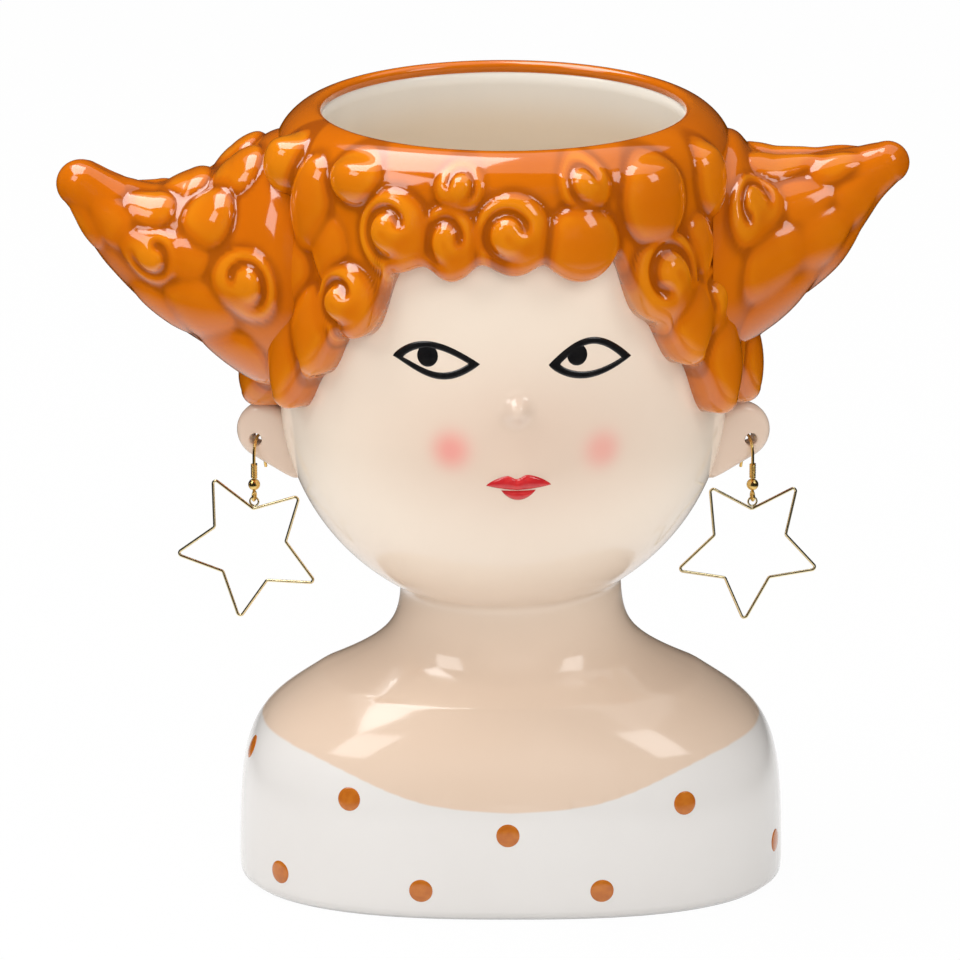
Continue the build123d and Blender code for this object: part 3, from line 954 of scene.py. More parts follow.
        pool = np.hstack([pool, np.repeat(pool[:, -1:], bend.size + self.inner_rows, axis=1)])
        angle = np.radians(azimuth)[:, None]
        points = np.stack([form.head_lean + radius * np.sin(angle), -radius * np.cos(angle), height], axis=2)
        return self.glazed("glazed_hair_cap", looped(points), pool.ravel(), finish)

    def build_bun(self, bun: BunForm, finish: Finish) -> Piece:
        """Mould one horn bun: a tapering core that ends in a ball, with curls on its front and back.

        Args:
            bun: Sizes and places of the bun.
            finish: Its material.

        Returns:
            The object.
        """
        side = bun.side.value
        knots = np.array(bun.knots)
        share, fine = np.linspace(0, 1, len(knots)), np.linspace(0, 1, self.bun_rings)
        reach, height, radius = (self.eased(share, knots[:, column], fine) for column in range(3))
        path = np.stack([self.form.head_lean + side * reach, np.zeros_like(reach), height], axis=1)
        heading = np.gradient(path, axis=0)
        heading /= np.linalg.norm(heading, axis=1, keepdims=True)
        girth = radius.copy()
        radius = radius + self.bun_flare * np.exp(-(((reach - self.flare_reach) / self.flare_length) ** 2))
        bend = np.radians(np.linspace(0, self.tip_turn, self.tip_steps))[1:]
        tip = radius[-1]
        path = np.vstack([path, path[-1] + np.outer(tip * np.sin(bend), heading[-1])])
        reach = np.concatenate([reach, reach[-1] + tip * np.sin(bend)])
        girth = np.concatenate([girth, np.full(len(bend), tip)])
        radius = np.concatenate([radius, tip * np.cos(bend)])
        heading = np.vstack([heading, np.repeat(heading[-1:], len(bend), axis=0)])
        angle = np.linspace(0, 360, self.bun_sides, endpoint=False)[None, :]
        curls = [*bun.curls, *(replace(curl, up=180 - curl.up) for curl in bun.curls)]

        def relief(along: Array, round_about: Array) -> Array:
            """Relief of the bun at reaches and angles in degrees."""
            swells = []
            for curl in curls:
                lap = math.radians(float(np.interp(curl.across, reach, girth)))
                swells.append(curl.swell(along - curl.across, wrapped(round_about - curl.up) * lap, self.bun_rise))
            return self.blend(swells)

        laps = np.radians(np.maximum(girth, self.least_girth))[:, None]
        swell = relief(reach[:, None], angle)
        nearby = [relief(reach[:, None] + a, angle + u / laps) for a, u in self.compass]
        pool = self.pooled(swell, nearby)
        lift = np.radians(angle)[..., None]
        above = np.stack([-side * heading[:, 2], np.zeros(len(heading)), side * heading[:, 0]], axis=1)
        free = smooth_step(self.flare_reach, self.flare_reach + self.upright_length, reach)[:, None]
        above = np.array(UP) * (1 - free) + above * free
        above /= np.linalg.norm(above, axis=1, keepdims=True)
        out = above[:, None, :] * np.sin(lift) + np.array([0.0, -1.0, 0.0]) * np.cos(lift)
        shrink = np.minimum(1.0, radius / np.maximum(girth, 1e-6))[:, None]
        points = path[:, None, :] + out * (radius[:, None] + swell * shrink)[..., None]
        pool = np.concatenate([pool.ravel(), [0.0, 0.0]])
        return self.glazed(f"glazed_{bun.side.label}_bun", capped(points), pool, finish)

    @staticmethod
    def eased(share: Array, values: Array, fine: Array) -> Array:
        """Draw a smooth curve through values."""
        slope = np.gradient(values, share)
        index = np.clip(np.searchsorted(share, fine, side="right") - 1, 0, len(share) - 2)
        width = share[index + 1] - share[index]
        t = (fine - share[index]) / width
        return (
            (2 * t**3 - 3 * t**2 + 1) * values[index]
            + (t**3 - 2 * t**2 + t) * width * slope[index]
            + (3 * t**2 - 2 * t**3) * values[index + 1]
            + (t**3 - t**2) * width * slope[index + 1]
        )

    @staticmethod
    def glazed(name: str, shell: Shell, pool: Array, finish: Finish) -> Piece:
        """Make a piece of hair and store where its glaze pools."""
        made = shell.to_object(name, finish, weld=False)
        store(made, "pool", pool)
        return made


@dataclass(frozen=True)
class Eye:
    """A painted eye: outline corners, lids and iris, as azimuths in degrees and heights."""

    left: tuple[float, float]
    right: tuple[float, float]
    upper_rise: float
    upper_share: float
    lower_drop: float
    lower_share: float
    iris: tuple[float, float]
    iris_radius: float
    stroke: float = 2.05


@dataclass
class Face:
    """Painted eyes and lips, each a thin layer that stands on the skin."""

    form: VesselForm
    eyes: tuple[Eye, ...] = (
        Eye((-30.4, 151.2), (-5.9, 150.9), 5.1, 0.43, 4.7, 0.57, (-20.2, 152.3), 3.1),
        Eye((11.4, 150.5), (35.4, 150.5), 6.4, 0.50, 4.3, 0.42, (19.4, 152.6), 3.0),
    )
    paint_rise: float = 0.32
    paint_edge: float = 0.1
    paint_root: float = -0.5
    corner_inset: float = 1.75
    lip_edge: float = 0.15
    lip_root: float = -0.9

    @staticmethod
    def lid(share: Array, peak: float) -> Array:
        """Shape of a lid from corner to corner, highest at a share of the way."""
        return np.sin(math.pi * share ** (math.log(0.5) / math.log(peak))) ** 0.92

    def ribbon(self, outer: Array, inner: Array) -> Shell:
        """A raised stroke between two closed lines of azimuths and heights.

        Args:
            outer: Points of the outer line.
            inner: Points of the inner line, one for each outer point.

        Returns:
            The closed stroke.
        """
        shares = np.linspace(0, 1, 9)
        lifts = -self.paint_edge + (self.paint_rise + self.paint_edge) * np.sin(math.pi * shares) ** 0.6
        rows = [*zip(shares, lifts), (1.0, self.paint_root), (0.0, self.paint_root)]
        return looped(np.array([self.form.on_skin(*(outer + (inner - outer) * share).T, lift) for share, lift in rows]))

    def outline(self, eye: Eye, inset: float) -> Array:
        """Closed line of an eye, a stroke's width inside its outer edge."""
        share = np.linspace(0, 1, 60)
        corner = inset * self.corner_inset
        left, right = eye.left[0] + corner, eye.right[0] - corner
        along = left + (right - left) * share
        base = eye.left[1] + (eye.right[1] - eye.left[1]) * share
        top = base + (eye.upper_rise - inset) * self.lid(share, eye.upper_share)
        bottom = base - (eye.lower_drop - inset) * self.lid(share, eye.lower_share)
        upper = np.stack([along, top], axis=1)
        lower = np.stack([along, bottom], axis=1)[::-1]
        return np.vstack([upper, lower[1:-1]])

    def disc(self, middle: tuple[float, float], radius: float) -> Shell:
        """A raised round dab of paint."""
        turns = full_turn(40)
        rows = [(share, self.paint_rise * math.sqrt(1 - share**4)) for share in (0.1, 0.4, 0.7, 0.88, 1.0)]
        rows = [(share, lift - self.paint_edge * share) for share, lift in rows] + [(1.0, self.paint_root)]
        rings = []
        for share, lift in rows:
            across, up = radius * share * np.cos(turns), radius * share * np.sin(turns)
            rings.append(self.form.on_skin(middle[0] + across, middle[1] + up, lift))
        return capped(np.array(rings))

    def build_eyes(self, finish: Finish) -> Piece:
        """Paint both eyes as one piece."""
        shells = []
        for eye in self.eyes:
            shells.append(self.ribbon(self.outline(eye, 0.0), self.outline(eye, eye.stroke)))
            shells.append(self.disc(eye.iris, eye.iris_radius))
        return Shell.joined(shells).to_object("painted_eyes", finish)

    def lip(self, left: float, right: float, top: Array, bottom: Array, rise: float) -> Shell:
        """A full lip between two lines.

        Args:
            left: Azimuth of its left corner.
            right: Azimuth of its right corner.
            top: Heights of its upper line, from corner to corner.
            bottom: Heights of its lower line.
            rise: How full it is.

        Returns:
            The closed lip.
        """
        share = np.linspace(0, 1, len(top))
        azimuth = left + (right - left) * share
        swell = np.sin(math.pi * np.clip(share, 0.02, 0.98)) ** 0.45
        rows = [(t, rise * swell * math.sin(math.pi * t) ** 0.55 - self.lip_edge) for t in np.linspace(0, 1, 13)]
        rows += [(1.0, self.lip_root), (0.0, self.lip_root)]
        rings = np.array([self.form.on_skin(azimuth, bottom + (top - bottom) * t, lift) for t, lift in rows])
        return capped(rings.transpose(1, 0, 2))

    def build_lips(self, finish: Finish) -> Piece:
        """Model the bowed upper lip and the short lower lip."""
        share = np.linspace(0, 1, 61)
        bow = 3.5 * np.sin(math.pi * share) ** 0.75 - 1.35 * np.exp(-(((share - 0.47) / 0.10) ** 2))
        upper = self.lip(-4.4, 12.0, 119.45 + bow, 119.35 - 0.9 * np.sin(math.pi * share) ** 0.8, 1.3)
        lower = self.lip(-0.6, 8.0, np.full(61, 118.35), 118.3 - 2.9 * np.sin(math.pi * share) ** 0.7, 1.2)
        return Shell.joined([upper, lower]).to_object("painted_lips", finish)


@dataclass
class DressDots:
    """Dots of glaze dabbed on the dress."""

    vessel: Vessel
    radius: float = 3.1
    thickness: float = 0.5
    sunk: float = 0.12
    places: tuple[tuple[float, float], ...] = (
        (-44.3, 31.0), (-1.0, 23.2), (47.0, 29.6), (-61.5, 7.9), (-25.6, 8.0), (25.7, 8.0), (-81.5, 35.1),
        (76.1, 11.6),
    )

    def spots(self) -> list[tuple[float, float]]:
        """The dots of the front, and the same ones on the back."""
        behind = [(180 - azimuth, height) for azimuth, height in self.places if abs(azimuth) < 70]
        return [*self.places, *behind]

    def build(self, finish: Finish) -> Piece:
        """Dab the dots on with a Geometry Nodes tree.

        Args:
            finish: Their material.

        Returns:
            All the dots as one piece.
        """
        form = self.vessel.form
        origins, turns = [], []
        nearby = np.array([-0.5, 0.0, 0.5])
        for azimuth, height in self.spots():
            grid = form.rings(height + nearby, np.radians(azimuth + nearby))
            right = grid[1, 2] - grid[1, 0]
            up = grid[2, 1] - grid[0, 1]
            out = np.cross(right, up)
            out /= np.linalg.norm(out)
            right /= np.linalg.norm(right)
            frame = np.stack([right, np.cross(out, right), out], axis=1)
            origins.append((grid[1, 1] * MM).tolist())
            turns.extend(Matrix(frame.tolist()).to_euler("XYZ"))
        mesh = bpy.data.meshes.new("dress_dots")
        mesh.from_pydata(origins, [], [])
        mesh.attributes.new("turn", "FLOAT_VECTOR", "POINT").data.foreach_set("vector", turns)
        spots = placed("dress_dots", mesh)
        dab = ball((self.radius, self.radius, self.thickness), (0, 0, -self.sunk), 36).to_object("dab")
        tree = GeometryTree("dab_dots")
        template = tree.add_input("Dab", "NodeSocketObject")
        source = tree.add("GeometryNodeObjectInfo", Object=template)
        turn = tree.add("GeometryNodeInputNamedAttribute", {"data_type": "FLOAT_VECTOR"}, Name="turn")
        rotation = tree.add("FunctionNodeEulerToRotation", Euler=turn.outputs["Attribute"])
        dabbed = tree.add(
            "GeometryNodeInstanceOnPoints",
            Points=tree.entry.outputs["Geometry"],
            Instance=source.outputs["Geometry"],
            Rotation=rotation.outputs["Rotation"],
        )
        tree.finish(dabbed.outputs["Instances"])
        made = tree.run(spots, Dab=dab, Material=finish)
        bpy.data.objects.remove(dab)
        return made


@dataclass
class Ear:
    """A round ear tab, pierced near its rim, that tapers into the cheek."""

    form: VesselForm
    side: Side
    reach: float = 61.5
    height: float = 118.2
    radius: float = 7.6
    thickness: float = 6.4
    edge: float = 2.6
    root_reach: float = 53.0
    root_height: float = 109.0
    root_radius: float = 3.0
    turn: float = 15.0
    hole: float = 3.2
    hole_round: float = 0.5
    hole_reach: float = 63.5
    hole_height: float = 116.2

    @property
    def sideways(self) -> Array:
        """Direction across the earring, towards the viewer's right."""
        angle = math.radians(self.turn)
        return np.array([math.cos(angle), self.side.value * math.sin(angle), 0.0])

    @property
    def forward(self) -> Array:
        """Direction of the hole, towards the front."""
        angle = math.radians(self.turn)
        return np.array([self.side.value * math.sin(angle), -math.cos(angle), 0.0])

    @property
    def hole_centre(self) -> Array:
        """Middle of the hole."""
        return np.array([self.form.head_lean + self.side.value * self.hole_reach, 0.0, self.hole_height])

    def rim(self, turns: Array) -> Array:
        """Distance from the hole to the ear's edge in directions of the ear's plane."""
        edge = np.zeros_like(turns)
        for share in np.linspace(0, 1, 40):
            middle_x = (self.reach + (self.root_reach - self.reach) * share) - self.hole_reach
            middle_z = (self.height + (self.root_height - self.height) * share) - self.hole_height
            radius = self.radius + (self.root_radius - self.radius) * share
            along = middle_x * np.cos(turns) + middle_z * np.sin(turns)
            apart = along**2 - middle_x**2 - middle_z**2 + radius**2
            edge = np.maximum(edge, np.where(apart > 0, along + np.sqrt(np.clip(apart, 0, None)), 0))
        return edge

    def build(self, finish: Finish) -> Piece:
        """Make the ear with a rounded rim and a softened hole."""
        turns = full_turn(96)
        rim, half = self.rim(turns), self.thickness / 2
        hole = np.full_like(turns, self.hole / 2)
        mouth = hole + self.hole_round
        bend = np.linspace(0, math.pi / 2, 7)
        section = [
            (hole + self.hole_round * (1 - math.sin(b)), half - self.hole_round * (1 - math.cos(b))) for b in bend[::-1]
        ]
        section += [(mouth + (rim - self.edge - mouth) * share, half) for share in (0.33, 0.66)]
        section += [(rim - self.edge * (1 - math.sin(b)), half - self.edge * (1 - math.cos(b))) for b in bend]
        section += [(distance, -depth) for distance, depth in section[::-1]]
        plane = np.outer(np.cos(turns), self.side.value * self.sideways) + np.outer(np.sin(turns), UP)
        rings = [self.hole_centre + plane * distance[:, None] + self.forward * depth for distance, depth in section]
        made = looped(np.array(rings)).to_object(f"glazed_{self.side.label}_ear", finish)
        # The ear carries most of the painted shade of the cheeks.
        for name, value in (("neckline", 50.0), ("blush", 0.0), ("warmth", 0.9), ("inside", 0.0)):
            store(made, name, np.full(len(made.data.vertices), value))
        return made


class WireBender:
    """Geometry Nodes trees that turn paths into round wire."""

    def __init__(self) -> None:
        """Build the trees for drawn wire, bent stars and windings."""
        self.wire = self.drawn(False)
        self.bent = self.drawn(True)
        self.winding = self.wound()

    @staticmethod
    def drawn(bends: bool) -> GeometryTree:
        """Tree that draws wire along a path, with rounded corners if the path bends sharply."""
        tree = GeometryTree("bent_wire" if bends else "drawn_wire")
        radius = tree.add_input("Wire Radius", "NodeSocketFloat")
        path = tree.entry.outputs["Geometry"]
        if bends:
            bend = tree.add_input("Bend Radius", "NodeSocketFloat")
            path = tree.add(
                "GeometryNodeFilletCurve", {"mode": "POLY"}, Curve=path, Radius=bend, Count=8
            ).outputs["Curve"]
        WireBender.sweep(tree, path, radius, 16)
        return tree

    @staticmethod
    def sweep(tree: GeometryTree, path: Socket, radius: Socket, sides: int) -> None:
        """End a tree with round wire along a path.

        Args:
            tree: The tree.
            path: The path.
            radius: Radius of the wire.
            sides: Sides of the wire.
        """
        circle = tree.add("GeometryNodeCurvePrimitiveCircle", Resolution=sides, Radius=radius)
        profile = circle.outputs["Curve"]
        swept = tree.add("GeometryNodeCurveToMesh", Curve=path, Profile_Curve=profile, Fill_Caps=True)
        tree.finish(swept.outputs["Mesh"])

    @staticmethod
    def wound() -> GeometryTree:
        """Tree that winds wire round an upright shank."""
        tree = GeometryTree("winding")
        radius = tree.add_input("Wire Radius", "NodeSocketFloat")
        turns = tree.add_input("Turns", "NodeSocketFloat")
        reach = tree.add_input("Winding Radius", "NodeSocketFloat")
        height = tree.add_input("Winding Height", "NodeSocketFloat")
        place = tree.add_input("Place", "NodeSocketVector")
        radii = {"Start_Radius": reach, "End_Radius": reach}
        helix = tree.add("GeometryNodeCurveSpiral", Resolution=28, Rotations=turns, Height=height, **radii)
        moved = tree.add("GeometryNodeTransform", Geometry=helix.outputs["Curve"], Translation=place)
        WireBender.sweep(tree, moved.outputs["Geometry"], radius, 12)
        return tree

    @staticmethod
    def path(name: str, points: Array, closed: bool) -> Piece:
        """Make a curve object through points in millimetres."""
        curve = bpy.data.curves.new(name, "CURVE")
        curve.dimensions = "3D"
        spline = curve.splines.new("POLY")
        spline.points.add(len(points) - 1)
        spline.points.foreach_set("co", np.column_stack([points * MM, np.ones(len(points))]).ravel())
        spline.use_cyclic_u = closed
        return placed(name, curve)


@dataclass
class Earring:
    """An ear wire with its winding and bead, and the wire star that hangs from its loop."""

    ear: Ear
    star_tilt: float
    hook_wire: float = 0.8
    arch_radius: float = 4.6
    arch_clearance: float = 0.1
    tail_bend: float = 8.0
    tail_turn: float = 25.0
    tail_length: float = 2.5
    shank_length: float = 2.05
    coil_wire: float = 0.45
    coil_height: float = 3.68
    coil_turns: float = 8.0
    coil_clearance: float = 0.02
    bead_diameter: float = 3.1
    bead_clearance: float = 0.05
    loop_radius: float = 1.1
    loop_gap: float = 0.22
    link_clearance: float = 0.1
    star_wire: float = 0.75
    star_tip_radius: float = 20.1
    star_notch_radius: float = 10.2
    star_points: int = 5
    star_bend: float = 0.8
    eyelet_wire: float = 0.5
    eyelet_radius: float = 1.15
    eyelet_gap: float = 0.02

    @property
    def arch_height(self) -> float:
        """Height of the middle of the hook's arch, which rests in the ear's hole."""
        inside = self.arch_radius - self.hook_wire / 2 - self.arch_clearance
        drop = math.sqrt(inside**2 - (self.ear.thickness / 2) ** 2)
        return self.ear.hole_height - self.ear.hole / 2 - drop

    @property
    def shank(self) -> Array:
        """Foot of the upright shank, at height 0."""
        foot = self.ear.hole_centre * np.array([1, 1, 0])
        return foot + self.ear.forward * self.arch_radius

    @property
    def coil_foot(self) -> float:
        """Height of the winding's foot."""
        return self.arch_height - self.shank_length - self.coil_height

    @property
    def bead_height(self) -> float:
        """Height of the bead's middle."""
        return self.coil_foot - self.coil_wire / 2 - self.bead_clearance - self.bead_diameter / 2

    @property
    def loop_height(self) -> float:
        """Height of the loop's middle."""
        return self.bead_height - self.bead_diameter / 2 - self.bead_clearance - self.hook_wire / 2 - self.loop_radius

    @property
    def eyelet_height(self) -> float:
        """Height of the eyelet's middle, hung in the loop."""
        inner = self.loop_height - self.loop_radius + (self.hook_wire + self.eyelet_wire) / 2
        return inner + self.link_clearance - self.eyelet_radius

    def hook_path(self) -> Array:
        """Points of the ear wire: its loop, its shank, the arch through the ear and the flared tail."""
        around, arch = self.loop_radius, self.arch_radius
        middle, top, flare = self.loop_height, self.arch_height, math.radians(self.tail_turn)
        turns = np.linspace(2 * math.pi - self.loop_gap, 0, 44)
        points = [(arch + around * math.sin(t), middle + around * math.cos(t)) for t in turns]
        points += [(arch, level) for level in np.linspace(middle + around + 0.5, top, 10)]
        points += [(arch * math.cos(t), top + arch * math.sin(t)) for t in np.linspace(0, math.pi, 44)[1:]]
        turns = np.linspace(0, flare, 12)[1:]
        points += [(-arch - self.tail_bend * (1 - math.cos(t)), top - self.tail_bend * math.sin(t)) for t in turns]
        way = np.array([-math.sin(flare), -math.cos(flare)])
        end = np.array(points[-1])
        points += [tuple(end + way * self.tail_length * share) for share in (0.5, 1.0)]
        return self.ear.hole_centre * np.array([1, 1, 0]) + np.array(points) @ np.stack([self.ear.forward, UP])

    def star_path(self) -> Array:
        """Corners of the star, hung by a notch from its eyelet and tilted as it came to rest."""
        tip, notch, step = self.star_tip_radius, self.star_notch_radius, math.pi / self.star_points
        slope = math.atan2(tip * math.cos(step) - notch, tip * math.sin(step))
        hang = (self.eyelet_radius + (self.eyelet_wire + self.star_wire) / 2 + self.eyelet_gap) / math.cos(slope)
        turns = math.pi / 2 + step * np.arange(2 * self.star_points)
        radii = np.where(np.arange(len(turns)) % 2, tip, notch)
        across, up = radii * np.cos(turns), radii * np.sin(turns) - notch - hang
        lean = -math.radians(self.star_tilt)
        right, above = math.cos(lean), math.sin(lean)
        return self.hung(np.stack([across * right - up * above, across * above + up * right], axis=1))

    def hung(self, flat: Array) -> Array:
        """Points of a flat shape across the earring, about the eyelet's middle."""
        return self.shank + np.array([0, 0, self.eyelet_height]) + flat @ np.stack([self.ear.sideways, UP])

    def bead(self) -> Shell:
        """A ball bead with a turned rim round its hole."""
        radius, bore = self.bead_diameter / 2, self.hook_wire / 2 + 0.02
        low = math.asin((bore + 0.12) / radius)
        bands = np.linspace(-math.pi / 2 + low, math.pi / 2 - low, 24)
        end = radius * math.cos(low)
        profile = [(bore, -end - 0.02), (bore + 0.1, -end - 0.05)]
        profile += [(radius * math.cos(b), radius * math.sin(b)) for b in bands]
        profile += [(bore + 0.1, end + 0.05), (bore, end + 0.02)]
        rings = np.array([[(r * math.cos(t), r * math.sin(t), z) for t in full_turn(40)] for r, z in profile])
        return looped(rings + self.shank + np.array([0, 0, self.bead_height]))

    def eyelet_path(self) -> Array:
        """Points of the eyelet's ring, which crosses the loop."""
        turns = full_turn(40)
        return self.hung(self.eyelet_radius * np.stack([np.sin(turns), np.cos(turns)], axis=1))

    def build(
        self, bender: WireBender, gold: Finish, pale: Finish
    ) -> dict[str, Piece]:
        """Make every piece of the earring.

        Args:
            bender: Trees that draw wire.
            gold: Material of the ear wire, winding and bead.
            pale: Material of the star and its eyelet.

        Returns:
            The pieces by the names of the nodes that they stand for.
        """
        side = self.ear.side.label
        pieces: dict[str, Piece] = {}

        def draw(part: str, tree: GeometryTree, points: Array, wire: float, **values: object) -> None:
            """Draw one piece of wire along points, with the values of the tree's other inputs."""
            path = bender.path(f"plated_{side}_{part}", points, "star" in part)
            pieces[f"{side}_{part}"] = tree.run(path, Wire_Radius=wire / 2 * MM, **values)

        draw("ear_wire", bender.wire, self.hook_path(), self.hook_wire, Material=gold)
        draw(
            "coil",
            bender.winding,
            np.zeros((2, 3)),
            self.coil_wire,
            Turns=self.coil_turns,
            Winding_Radius=(self.hook_wire / 2 + self.coil_clearance + self.coil_wire / 2) * MM,
            Winding_Height=self.coil_height * MM,
            Place=tuple((self.shank + np.array([0, 0, self.coil_foot])) * MM),
            Material=gold,
        )
        pieces[f"{side}_bead"] = self.bead().to_object(f"plated_{side}_bead", gold)
        draw("star", bender.bent, self.star_path(), self.star_wire, Bend_Radius=self.star_bend * MM, Material=pale)
        draw("star_eyelet", bender.wire, self.eyelet_path(), self.eyelet_wire, Material=pale)
        return pieces


@dataclass(frozen=True)
class SoftBox:
    """A soft box: its place and size in metres, its power in watts and what its light does."""

    name: str
    place: tuple[float, float, float]
    size: tuple[float, float]
    power: float
    mirrored: bool = True
    lights: bool = True


@dataclass
class Studio:
    """A white table, soft boxes and the camera."""

    floor_side: float = 6.0
    camera_distance: float = 2.8
    camera_elevation: float = 15.9
    aim: tuple[float, float, float] = (-0.00806, 0.0, 0.1044)
    pixels_per_mm: float = 3.846
    sensor: float = 36.0
    table_dark: Colour = (0.76, 0.76, 0.76)
    table_light: Colour = (0.80, 0.80, 0.80)
    table_glow: float = 0.975
    mirrored_table: float = 0.10
    mirrored_fade: float = 0.26
    room_colour: Colour = (1.0, 0.985, 0.965)
    room_light: float = 0.50
    mirrored_colour: Colour = (1.0, 0.97, 0.94)
    mirrored_room: float = 0.02
    boxes: tuple[SoftBox, ...] = (
        SoftBox("overhead_box", (-0.42, 0.12, 1.30), (0.95, 0.8), 12.5),
        SoftBox("canopy", (0.0, 0.25, 1.55), (2.3, 1.5), 9.0, lights=False),
        SoftBox("left_box", (-0.86, -0.50, 0.94), (0.5, 0.46), 2.6),
        SoftBox("right_box", (0.84, -0.50, 0.97), (0.42, 0.5), 2.4),
        SoftBox("front_box", (0.2, -1.9, 1.05), (1.4, 1.0), 13.5, mirrored=False),
    )

    def build(self) -> None:
        """Set the floor, the light and the camera."""
        self.floor()
        self.world()
        for box in self.boxes:
            self.hang(box)
        self.camera()

    def floor(self) -> None:
        """Lay a pale table that fades into the background, and is mirrored only near the object."""
        corners = np.array([(-1, -1, 0), (1, -1, 0), (1, 1, 0), (-1, 1, 0)]) * self.floor_side / 2 / MM
        tree = ShaderTree("table_white")
        tree.set(Roughness=0.6)
        grain = tree.between(tree.noise(30.0, 2.0), 0.0, 1.0)
        tree.colour(tree.mix(grain, self.table_dark, self.table_light))
        path = tree.add("ShaderNodeLightPath").outputs
        away = tree.add("ShaderNodeVectorMath", {"operation": "LENGTH"}, Vector=tree.place()).outputs["Value"]
        near = tree.between(away, self.mirrored_table + self.mirrored_fade, self.mirrored_table)
        shown = tree.blend(self.table_glow, tree.shader, tree.add("ShaderNodeEmission"))
        seen = tree.blend(path["Is Camera Ray"], tree.shader, shown)
        mirrored = tree.blend(path["Is Glossy Ray"], seen, tree.add("ShaderNodeEmission", Strength=near))
        tree.fill(tree.tree.nodes["Material Output"].inputs["Surface"], mirrored.outputs[0])
        Shell(corners, [(0, 1, 2, 3)]).to_object("table", tree.material)

    def world(self) -> None:
        """Fill the room with an even pale light, show it white and mirror it dark."""
        world = bpy.data.worlds.new("room")
        bpy.context.scene.world = world
        world.use_nodes = True
        tree = NodeTree(world.node_tree)
        room = tree.tree.nodes["Background"]
        tree.fill(room.inputs["Color"], (*self.room_colour, 1.0))
        tree.fill(room.inputs["Strength"], self.room_light)
        mirrored = (*self.mirrored_colour, 1.0)
        dark = tree.add("ShaderNodeBackground", Color=mirrored, Strength=self.mirrored_room)
        white = tree.add("ShaderNodeBackground", Color=(1.0, 1.0, 1.0, 1.0))
        path = tree.add("ShaderNodeLightPath").outputs
        dimmed = tree.blend(path["Is Glossy Ray"], room, dark)
        shown = tree.blend(path["Is Camera Ray"], dimmed, white)
        tree.fill(tree.tree.nodes["World Output"].inputs["Surface"], shown.outputs[0])

    def hang(self, box: SoftBox) -> None:
        """Hang a soft box that points at the object."""
        light = bpy.data.lights.new(box.name, "AREA")
        light.shape = "RECTANGLE"
        light.size, light.size_y = box.size
        light.energy = box.power
        made = placed(box.name, light)
        made.location = box.place
        made.visible_glossy = box.mirrored
        made.visible_diffuse = box.lights
        made.rotation_euler = (Vector(self.aim) - Vector(box.place)).to_track_quat("-Z", "Y").to_euler()

    def camera(self) -> None:
        """Stand a long lens where the photographer stood."""
        lens = bpy.data.cameras.new("camera")
        lens.sensor_width = self.sensor
        lens.lens = self.sensor * self.pixels_per_mm * self.camera_distance / MM / IMAGE_SIDE
        lens.clip_end = 100.0
        made = placed("camera", lens)
        rise = math.radians(self.camera_elevation)
        back = Vector((0.0, -math.cos(rise), math.sin(rise)))
        made.location = Vector(self.aim) + back * self.camera_distance
        made.rotation_euler = (-back).to_track_quat("-Z", "Y").to_euler()
        bpy.context.scene.camera = made


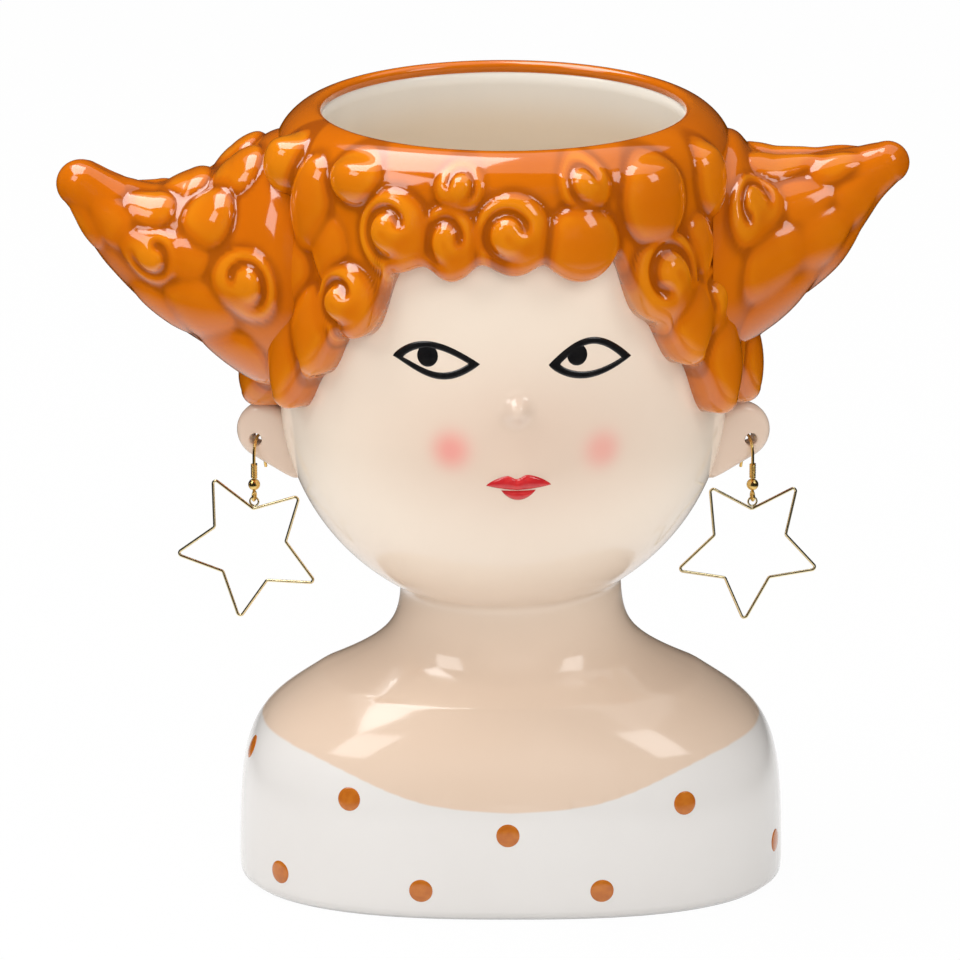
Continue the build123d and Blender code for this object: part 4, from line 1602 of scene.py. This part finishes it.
@dataclass
class Planter:
    """The whole object: builds each sub-assembly and ties it to its body."""

    form: VesselForm = VesselForm()
    left_bun: BunForm = BunForm(
        Side.LEFT,
        (
            (53.4, 163.0, 32.0), (59.0, 163.7, 30.2), (66.0, 164.6, 27.8), (74.0, 165.8, 24.0),
            (81.0, 167.2, 20.2), (88.0, 169.4, 16.6), (95.0, 172.8, 12.8), (101.0, 177.2, 9.6),
            (105.6, 181.0, 7.2), (109.2, 184.0, 6.2),
        ),
        (
            Curl(78.3, 38, 7.8, BALL, 0, 1.15, 1.2),
            Curl(95.0, 40, 6.2, BALL),
            Curl(103.5, -50, 4.8, BALL, 0, 1.0, 0.7),
            Curl(90.6, -4, 7.2, SPIRAL, 200),
            Curl(87.0, 82, 7.0, BALL, 0, 1.0, 0.9),
            Curl(66.8, 0, 8.8, SPIRAL, 120),
            Curl(83.5, -52, 7.4, BALL, 0, 0.9, 0.5),
            Curl(76.5, -30, 8.6, LEAF, 0, 1.2, 0.7),
            Curl(71.0, 70, 9.0, BALL, 0, 1.0, 1.1),
            Curl(82.5, 6, 6.8, BALL, 0, 1.0, 0.6),
            Curl(67.5, -50, 8.6, BALL, 0, 1.2, 0.9),
            Curl(100.0, 0, 5.6, BALL, 0, 1.0, 0.7),
            Curl(107.0, 20, 6.0, BALL, 0, 1.2, 0.4),
        ),
    )
    right_bun: BunForm = BunForm(
        Side.RIGHT,
        (
            (53.4, 164.6, 30.2), (58.0, 166.9, 27.4), (64.0, 169.8, 23.8), (71.0, 173.4, 19.8),
            (78.0, 177.0, 16.0), (85.0, 181.2, 12.2), (91.0, 185.0, 9.0), (95.2, 187.4, 6.9),
            (99.2, 189.6, 5.5),
        ),
        (
            Curl(78.0, 68, 11.4, BALL, 0, 0.5, 0.6),
            Curl(89.0, 50, 6.0, BALL, 0, 0.8, 0.8),
            Curl(66.7, 30, 9.2, BACK_SPIRAL, 120),
            Curl(69.5, -8, 8.2, BALL, 0, 1.1, 0.8),
            Curl(79.5, -20, 7.8, BALL, 0, 1.0, 0.7),
            Curl(68.5, -46, 8.6, LEAF, 0, 1.1, 0.6),
            Curl(79.5, 20, 7.2, BALL, 0, 1.0, 0.5),
            Curl(89.5, -14, 5.8, BALL, 0, 1.0, 0.5),
            Curl(79.0, -66, 7.0, BALL, 0, 0.9, 0.4),
            Curl(97.0, 10, 5.6, BALL, 0, 1.2, 0.4),
        ),
    )
    left_tilt: float = 7.5
    right_tilt: float = 3.7

    @staticmethod
    def carry(made: Piece, body: str, slot: str, node: str | None = None) -> None:
        """Tie a piece to its body and, where it stands for a node, hide that node.

        Args:
            made: The piece.
            body: Body that it rides on.
            slot: The record's material slot; not used.
            node: Node that it replaces.
        """
        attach(made, body)
        if node:
            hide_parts(node)
        log.info("%s: %d faces on %s", made.name, len(made.data.polygons), body)

    def build(self) -> None:
        """Build and tie every piece."""
        skin = SkinGlaze().material()
        ginger = HairGlaze().material()
        ink = PaintGlaze("eye_black", (0.006, 0.006, 0.007), (0.012, 0.011, 0.011), 0.25).material()
        red = PaintGlaze("lip_red", (0.52, 0.012, 0.018), (0.66, 0.03, 0.03)).material()
        amber = PaintGlaze("dot_amber", (0.45, 0.115, 0.006), (0.55, 0.165, 0.012)).material()
        gold = GoldPlate("ear_wire_gold", (1.0, 0.74, 0.27), (0.92, 0.62, 0.20), 0.27).material()
        pale = GoldPlate("star_gold", (1.0, 0.86, 0.52), (0.92, 0.76, 0.42), 0.25).material()
        vessel = Vessel(self.form)
        self.carry(vessel.build(skin), "pot", "skin_glaze", "head_and_bust")
        hair = Hair(self.form)
        self.carry(hair.build_cap(ginger), "pot", "hair_glaze", "hair_cap")
        for bun in (self.left_bun, self.right_bun):
            self.carry(hair.build_bun(bun, ginger), "pot", "hair_glaze", f"{bun.side.label}_bun")
        face = Face(self.form)
        self.carry(face.build_eyes(ink), "pot", "skin_glaze")
        self.carry(face.build_lips(red), "pot", "skin_glaze")
        self.carry(DressDots(vessel).build(amber), "pot", "skin_glaze")
        bender = WireBender()
        for side, tilt in ((Side.LEFT, self.left_tilt), (Side.RIGHT, self.right_tilt)):
            ear = Ear(self.form, side)
            self.carry(ear.build(skin), "pot", "skin_glaze", f"{side.label}_ear")
            for node, made in Earring(ear, tilt).build(bender, gold, pale).items():
                hung = "star" in node
                body = f"{side.label}_{'pendant' if hung else 'earring'}"
                self.carry(made, body, "star_gold" if hung else "earring_gold", node)


def main() -> None:
    """Load the frame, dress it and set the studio."""
    logging.basicConfig(level=logging.INFO, format="%(name)s %(message)s")
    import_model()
    bpy.context.scene.view_settings.view_transform = "Standard"
    Planter().build()
    Studio().build()
    bpy.context.view_layer.update()


if __name__ == "__main__":
    main()
